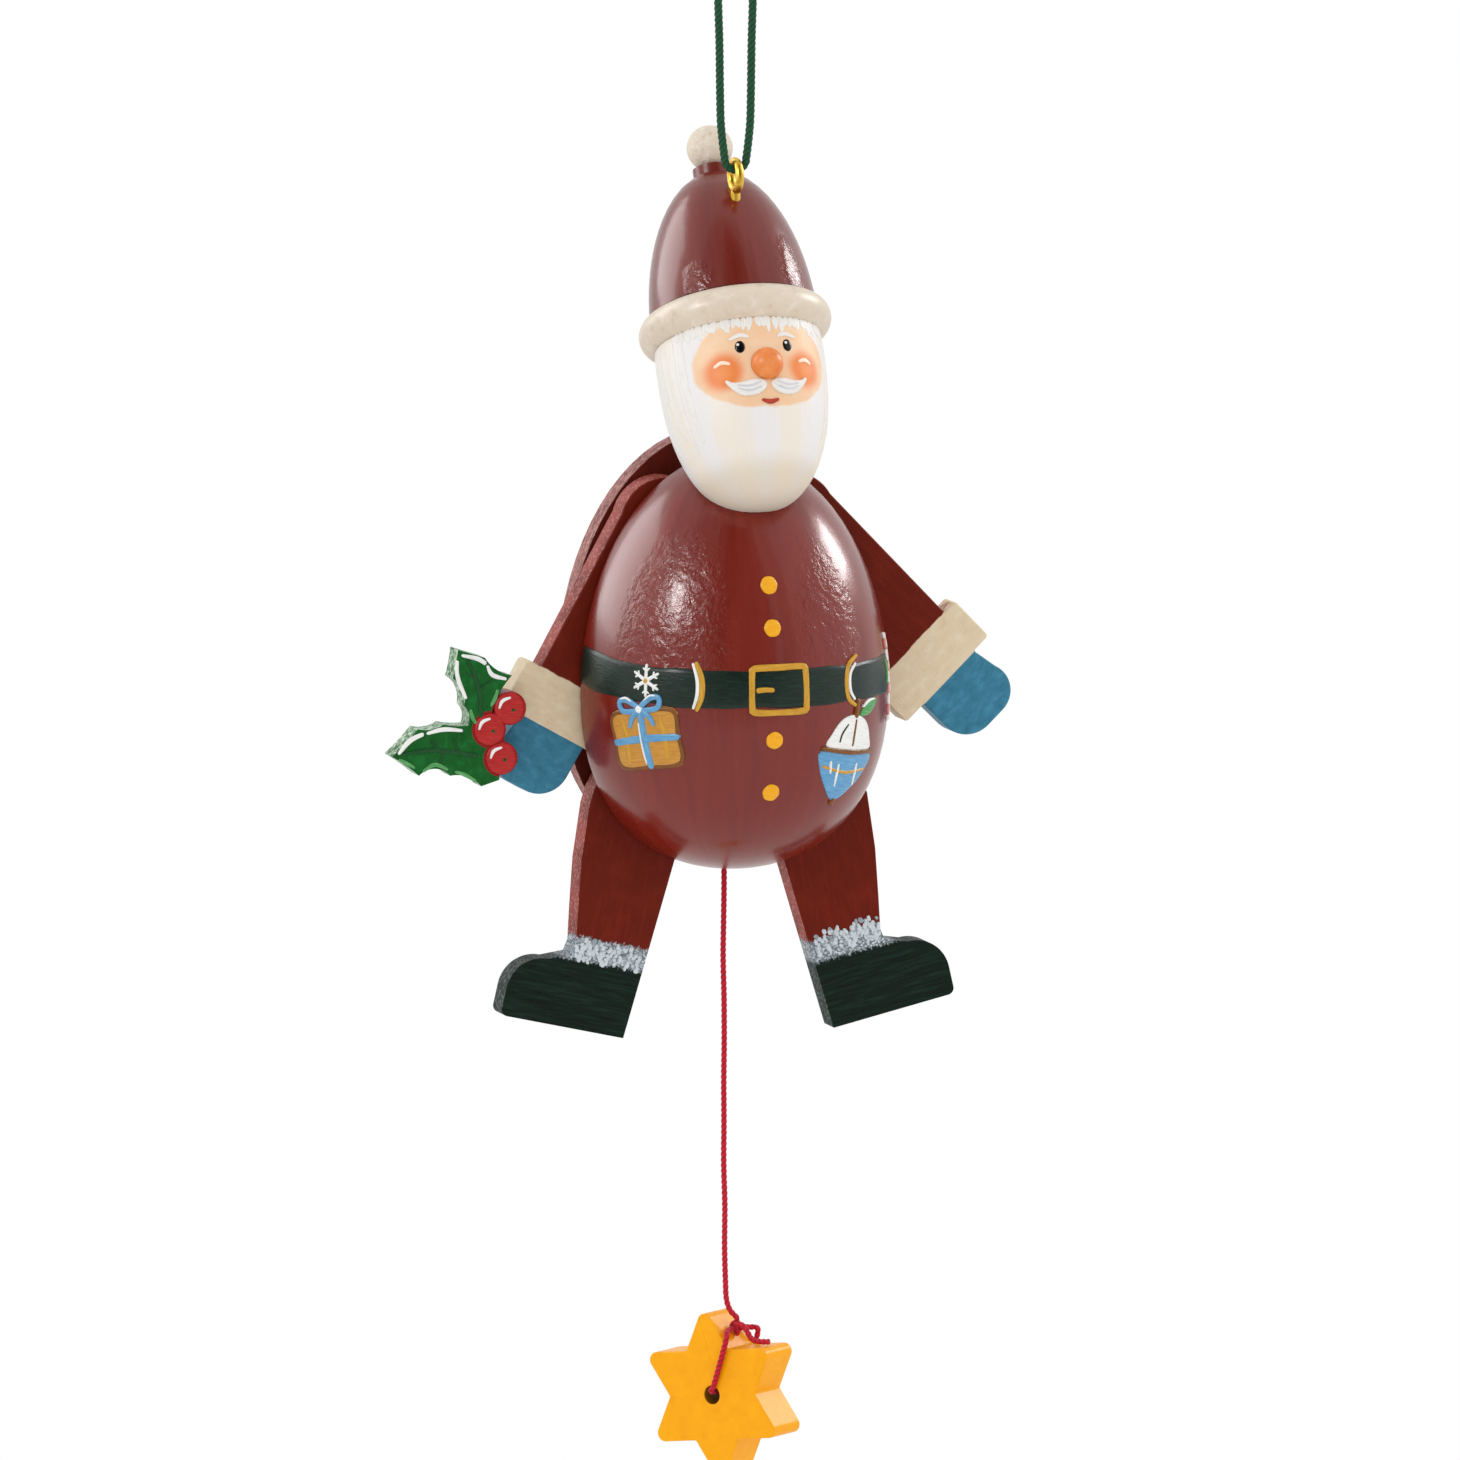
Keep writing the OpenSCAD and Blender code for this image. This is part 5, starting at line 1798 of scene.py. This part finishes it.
@dataclass
class FaceAndHair:
    """The painted face, and the white hair, moustache and beard round it.

    Attributes:
        seed: Start of the draws for the uneven hair.
        fringe_turns: First and last turn of the hair under the brim, and its step, in degrees.
    """

    seed: int = 11
    fringe_turns: Triple = (-62.0, 63.0, 3.1)

    def build(self, paints: Paints) -> None:
        """Lays the hair first and the features over it."""
        brush = Brushwork("face", "figure", "face_paint", HEAD_EGG)
        self.hair(brush)
        self.features(brush)
        brush.make(paints)

    def hair(self, brush: Brushwork) -> None:
        """Short thin strokes under the brim, and low ones down the sides that draw together."""
        draw = np.random.default_rng(self.seed)
        for turn in np.arange(*self.fringe_turns):
            shift, lean, size, long = draw.uniform((-1.2, -2.6, 0.75, 0.0), (1.2, 2.6, 1.25, 1.0))
            at = turn + shift
            tip = (at + lean, -3.9 - 1.3 * long**2, 0.16)
            brush.stroke("beard", 0.08, (at, -2.4, 0.3), (at + lean * 0.4, -3.3, 0.46 * size), tip, rings=12)
        for side, k in product(Side, range(5)):
            turn = 60.0 + 9.5 * k
            tip = (turn * 0.97, -19.0 - 1.3 * math.sin(2.3 * k), 0.2)
            brush.stroke("beard", 0.05, *sided(side, (turn, -3.0, 0.3), (turn + 2.0, -9.0, 0.75), tip))

    def features(self, brush: Brushwork) -> None:
        """Eyes, brows, lights on the cheeks, moustache and a small smiling mouth."""
        for side in Side:
            brush.canvas = Spot(HEAD_EGG, (17.0 * side.value, -6.8))
            brush.spot("black", oval(0.0, 0.0, 0.72, 0.9, 22), 0.2, 2.6)
            brush.spot("white", oval(-0.25, 0.32, 0.25, 0.25, 12), 0.3, 2.6)
            brush.canvas = HEAD_EGG
            brow = sided(side, (10.0, -5.5, 0.22), (16.0, -5.1, 0.34), (24.0, -5.6, 0.2))
            brush.stroke("beard", 0.2, *brow, rings=14)
            light = sided(side, (25.0, -9.1, 0.2), (31.0, -8.7, 0.3), (37.0, -9.2, 0.2))
            brush.stroke("cheek_light", 0.14, *light, rings=14)
            lobe = (1.5, -12.3, 0.55), (9.0, -12.75, 1.15), (18.0, -12.9, 1.05), (26.0, -12.2, 0.45)
            brush.stroke("beard", 0.42, *sided(side, *lobe, (30.0, -11.4, 0.2)))
            for lift in (-0.35, 0.3):
                hair = (5.0, -12.5 + lift, 0.14), (14.0, -12.95 + lift, 0.2), (23.0, -12.5 + lift * 0.6, 0.12)
                brush.stroke("beard_cool", 0.5, *sided(side, *hair), rings=14)
        brush.stroke("lip", 0.24, (-6.5, -14.7, 0.2), (0.0, -15.05, 0.36), (6.5, -14.7, 0.2), rings=14)


BERRIES = ((-33.8, -4.0), (-36.8, -6.9), (-35.1, -11.1))
HOLLY_STROKES: dict[tuple[str, float], list[list[Triple]]] = {
    ("white", 0.22): [
        [(-41.0, 3.9, 0.22), (-38.6, 3.3, 0.34), (-37.3, 2.5, 0.3)],
        [(-37.2, 2.3, 0.2), (-36.4, 0.9, 0.34), (-34.3, 0.2, 0.22)],
        [(-41.6, 3.2, 0.2), (-41.6, 0.9, 0.32), (-40.3, -2.4, 0.22)],
        [(-50.4, -9.9, 0.22), (-48.6, -8.0, 0.36), (-46.6, -7.1, 0.3)],
        [(-46.2, -7.1, 0.22), (-43.6, -6.6, 0.34), (-40.8, -6.9, 0.22)],
    ],
    ("leaf_light", 0.2): [
        [(-39.7, -3.9, 0.2), (-39.4, -5.0, 0.3), (-38.9, -6.0, 0.2)],
        [(-35.6, -1.2, 0.2), (-36.1, -2.6, 0.3), (-36.7, -3.6, 0.2)],
        [(-46.8, -12.5, 0.2), (-45.0, -11.6, 0.32), (-43.0, -12.4, 0.2)],
        [(-42.0, -12.7, 0.2), (-40.6, -13.2, 0.3), (-38.9, -14.2, 0.2)],
        [(-50.3, -10.6, 0.2), (-49.2, -11.2, 0.28), (-47.9, -12.0, 0.2)],
    ],
    ("leaf_dark", 0.16): [
        [(-40.2, 3.4, 0.2), (-38.6, -0.4, 0.34), (-38.0, -5.6, 0.3)],
        [(-50.2, -9.9, 0.2), (-45.0, -9.5, 0.34), (-38.6, -10.6, 0.3)],
        [(-38.9, 0.3, 0.2), (-40.3, 1.5, 0.14)], [(-38.5, -1.2, 0.2), (-36.6, 0.2, 0.14)],
        [(-44.4, -9.5, 0.2), (-45.8, -7.9, 0.14)], [(-43.6, -9.6, 0.2), (-44.4, -11.6, 0.14)],
        [(-41.4, -9.9, 0.2), (-42.3, -8.0, 0.14)],
    ],
}


@dataclass
class BoardDetails:
    """Thick paint on the flat boards: fur on the boots, and strokes on the holly sprig.

    Attributes:
        seed: Start of the draws for each leg's fur.
        tufts: How many dabs of fur a leg has.
        fur_bands: Each leg with the lower and upper edge of its fur on the leg's axes.
        berry: Radius of a berry.
    """

    seed: int = 11
    tufts: int = 120
    fur_bands: tuple[tuple[str, float, float], ...] = (("left_leg", -31.0, -27.9), ("right_leg", -29.9, -26.6))
    berry: float = 2.32

    def fur(self, name: str, low: float, high: float, paints: Paints) -> None:
        """A ragged band of short dabs of fur across one leg, between two heights on its axes."""
        draw = np.random.default_rng(self.seed)
        brush = Brushwork(name + "_fur", name, "leg_paint", Board(LIMBS[name], -2.25))
        for k in range(self.tufts):
            x, y = draw.uniform(-4.9, 4.9), draw.uniform(low, high)
            (c, s), length = cos_sin(draw.uniform(60, 120)), draw.uniform(0.5, 1.1)
            dx, dy = length * c / 2, length * s / 2
            half, key = draw.uniform(0.2, 0.38), "fur_white" if k % 4 else "fur_grey"
            dab = (x - dx, y - dy, half), (x, y, half), (x + dx, y + dy, half)
            brush.stroke(key, 0.1 + 0.18 * k / self.tufts, *dab, rings=7)
        brush.make(paints)

    def holly(self, paints: Paints) -> None:
        """Lights along the leaves' upper edges, veins, and the three berries with light and dot."""
        brush = Brushwork("holly", "left_arm", "holly_paint", Board(BELT, -2.75))
        for (key, height), routes in HOLLY_STROKES.items():
            for route in routes:
                brush.stroke(key, height, *route)
        for x, z in BERRIES:
            brush.spot("berry", oval(x, z, self.berry, self.berry, 36), 0.5, 3.0)
            light = (x - 1.75, z, 0.14), (x - 1.2, z + 1.15, 0.3), (x + 0.1, z + 1.65, 0.18)
            brush.stroke("white", 0.56, *light, rings=14)
            brush.spot("leaf_dark", oval(x + 0.35, z - 0.2, 0.5, 0.42, 14), 0.56, 3.0)
        brush.make(paints)

    def build(self, paints: Paints) -> None:
        """Lays the fur on both legs and the paint of the sprig."""
        for name, low, high in self.fur_bands:
            self.fur(name, low, high, paints)
        self.holly(paints)


# The whole figure.

DABS = {
    "belt_green": ("0F241C", "1A362C", "081510"),
    "ochre": ("C9952B", "DDAB3C", "9C6C1C"),
    "yellow": ("F0A812", "F8B824", "D68F0C"),
    "umber": ("7A4A1C", "925C26", "573210"),
    "parcel": ("C58A35", "D89F49", "A87028"),
    "sky": ("5F9CC8", "7FB4D8", "3F7BA6"),
    "white": ("EDEDEA", "F8F8F6", "C9CDD0"),
    "pink": ("D98C86", "E8A8A0", "B5605A"),
    "leaf_light": ("4F9A57", "7DBB7C", "2E7A3C"),
    "leaf_dark": ("0B4A1C", "115A26", "073614"),
    "berry": ("B01C1C", "C62C28", "8A1114"),
    "beard": ("EAE7E2", "F2F0EC", "DAD4CA", 0.4),
    "beard_cool": ("CFD3D8", "DEE1E4", "B9C0C8", 0.4),
    "cheek_light": ("FBE3CC", "FFF0E0", "F2B885"),
    "lip": ("B43A2C", "C44C3A", "8E2A20"),
    "black": ("0C0B0B", "161413", "050505", 0.14),
    "fur_white": ("C8D1D6", "D8E0E4", "A6B0B7"),
    "fur_grey": ("98A2A9", "AAB4BA", "78828A"),
}
HAT_ZONES = ((34.0, 6.0, 13.0, 4.5), (-40.0, 4.5, 12.0, 3.0))
STAR_HOLE = (1.3, "2C1406")
PINS = ("shoulder_pin_left", "shoulder_pin_right", "hip_pin_left", "hip_pin_right")


def build_boards() -> None:
    """Dresses every solid that keeps its CAD shape."""
    coat = TurnedPaint("coat_paint", BELT).build()
    smooth_copy("body_front", "coat_front", "figure", coat, "body_paint")
    cap = TurnedPaint("hat_paint", HEAD, 40.0, HAT_ZONES, "6E1B0E", "7C2619", "5D160B").build()
    smooth_copy("hat", "hat_cone", "figure", cap, "hat_paint")
    cream = PlainPaint("cream_paint", "DACBB7", "E6DBCB", "BDAE96").build()
    smooth_copy("hat_brim", "hat_roll", "figure", cream, "cream_paint")
    wool = PlainPaint("wool_paint", "E0D2BE", "ECE2D2", "BFB199", 0.55, (1.2, 1.2, 1.2), 0.3).build()
    smooth_copy("pompom", "hat_bead", "figure", wool, "cream_paint")
    smooth_copy("head", "head_turning", "figure", HeadPaint("face_paint", HEAD).build(), "face_paint")
    skin = PlainPaint("nose_paint", "E8823A", "F09A58", "C25F22").build()
    smooth_copy("nose", "nose_bead", "figure", skin, "nose_paint")
    grain = (1.0, 1.0, 0.15)
    # The back board's pale pink edges are painted sheen with rubbed specks.
    board = PlainPaint("board_paint", "5A170B", "6C2013", "3C0D06", 0.42, grain, gloss=0.15, edge_wear_and_sheen="C58882")
    smooth_copy("back_plate", "back_board", "figure", board.build(), "board_paint", bevel=0.35)
    for name, axes in LIMBS.items():
        boot = name.endswith("leg")
        paint = BandPaint(name + "_paint", axes, boot).build()
        smooth_copy(name, name + "_board", name, paint, "leg_paint" if boot else "arm_paint", bevel=0.3)
    holly = LeafPaint("holly_paint", BERRIES).build()
    smooth_copy("holly_sprig", "holly_cutout", "left_arm", holly, "holly_paint", bevel=0.25)
    yellow = PlainPaint("star_paint", "FAA900", "FFB104", "EE9C00", 0.26, gloss=0.15, hole=STAR_HOLE, axes=STAR)
    smooth_copy("star", "star_block", "pull", yellow.build(), "star_paint", bevel=0.4)
    brass = Brass("brass_wire").build()
    smooth_copy("screw_eye", "screw_eye_wire", "figure", brass, "brass_wire")
    for name in PINS:
        smooth_copy(name, name + "_head", "figure", brass, "pin_brass")
    wood = BareWood("bare_wood").build()
    smooth_copy("neck_spacer", "neck_block", "figure", wood, "bare_wood")
    smooth_copy("head_dowel", "neck_dowel", "figure", wood, "bare_wood")


def main() -> None:
    """Builds the stage, the cords and every piece in order."""
    logging.basicConfig(level=logging.INFO, format="%(name)s: %(message)s", stream=sys.stdout)
    Studio().build()
    HangingCord().build(CordFinish("green_yarn", "255E3C", "0F3020").build())
    red = CordFinish("red_yarn", "DE1B38", "8A0A1C", 7.0).build()
    PullString().build(red)
    SlotThreads().build(red)
    build_boards()
    paints = {key: DabPaint("dab_" + key, *codes).build() for key, codes in DABS.items()}
    for detail in (BeltAndButtons(), CoatPictures(), FaceAndHair(), BoardDetails()):
        detail.build(paints)
    with open("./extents.json", "w") as out:
        json.dump({"cad": [list(c) for c in CAD_BOX], "visual": [list(c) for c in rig.bounds()]}, out)


if __name__ == "__main__":
    main()
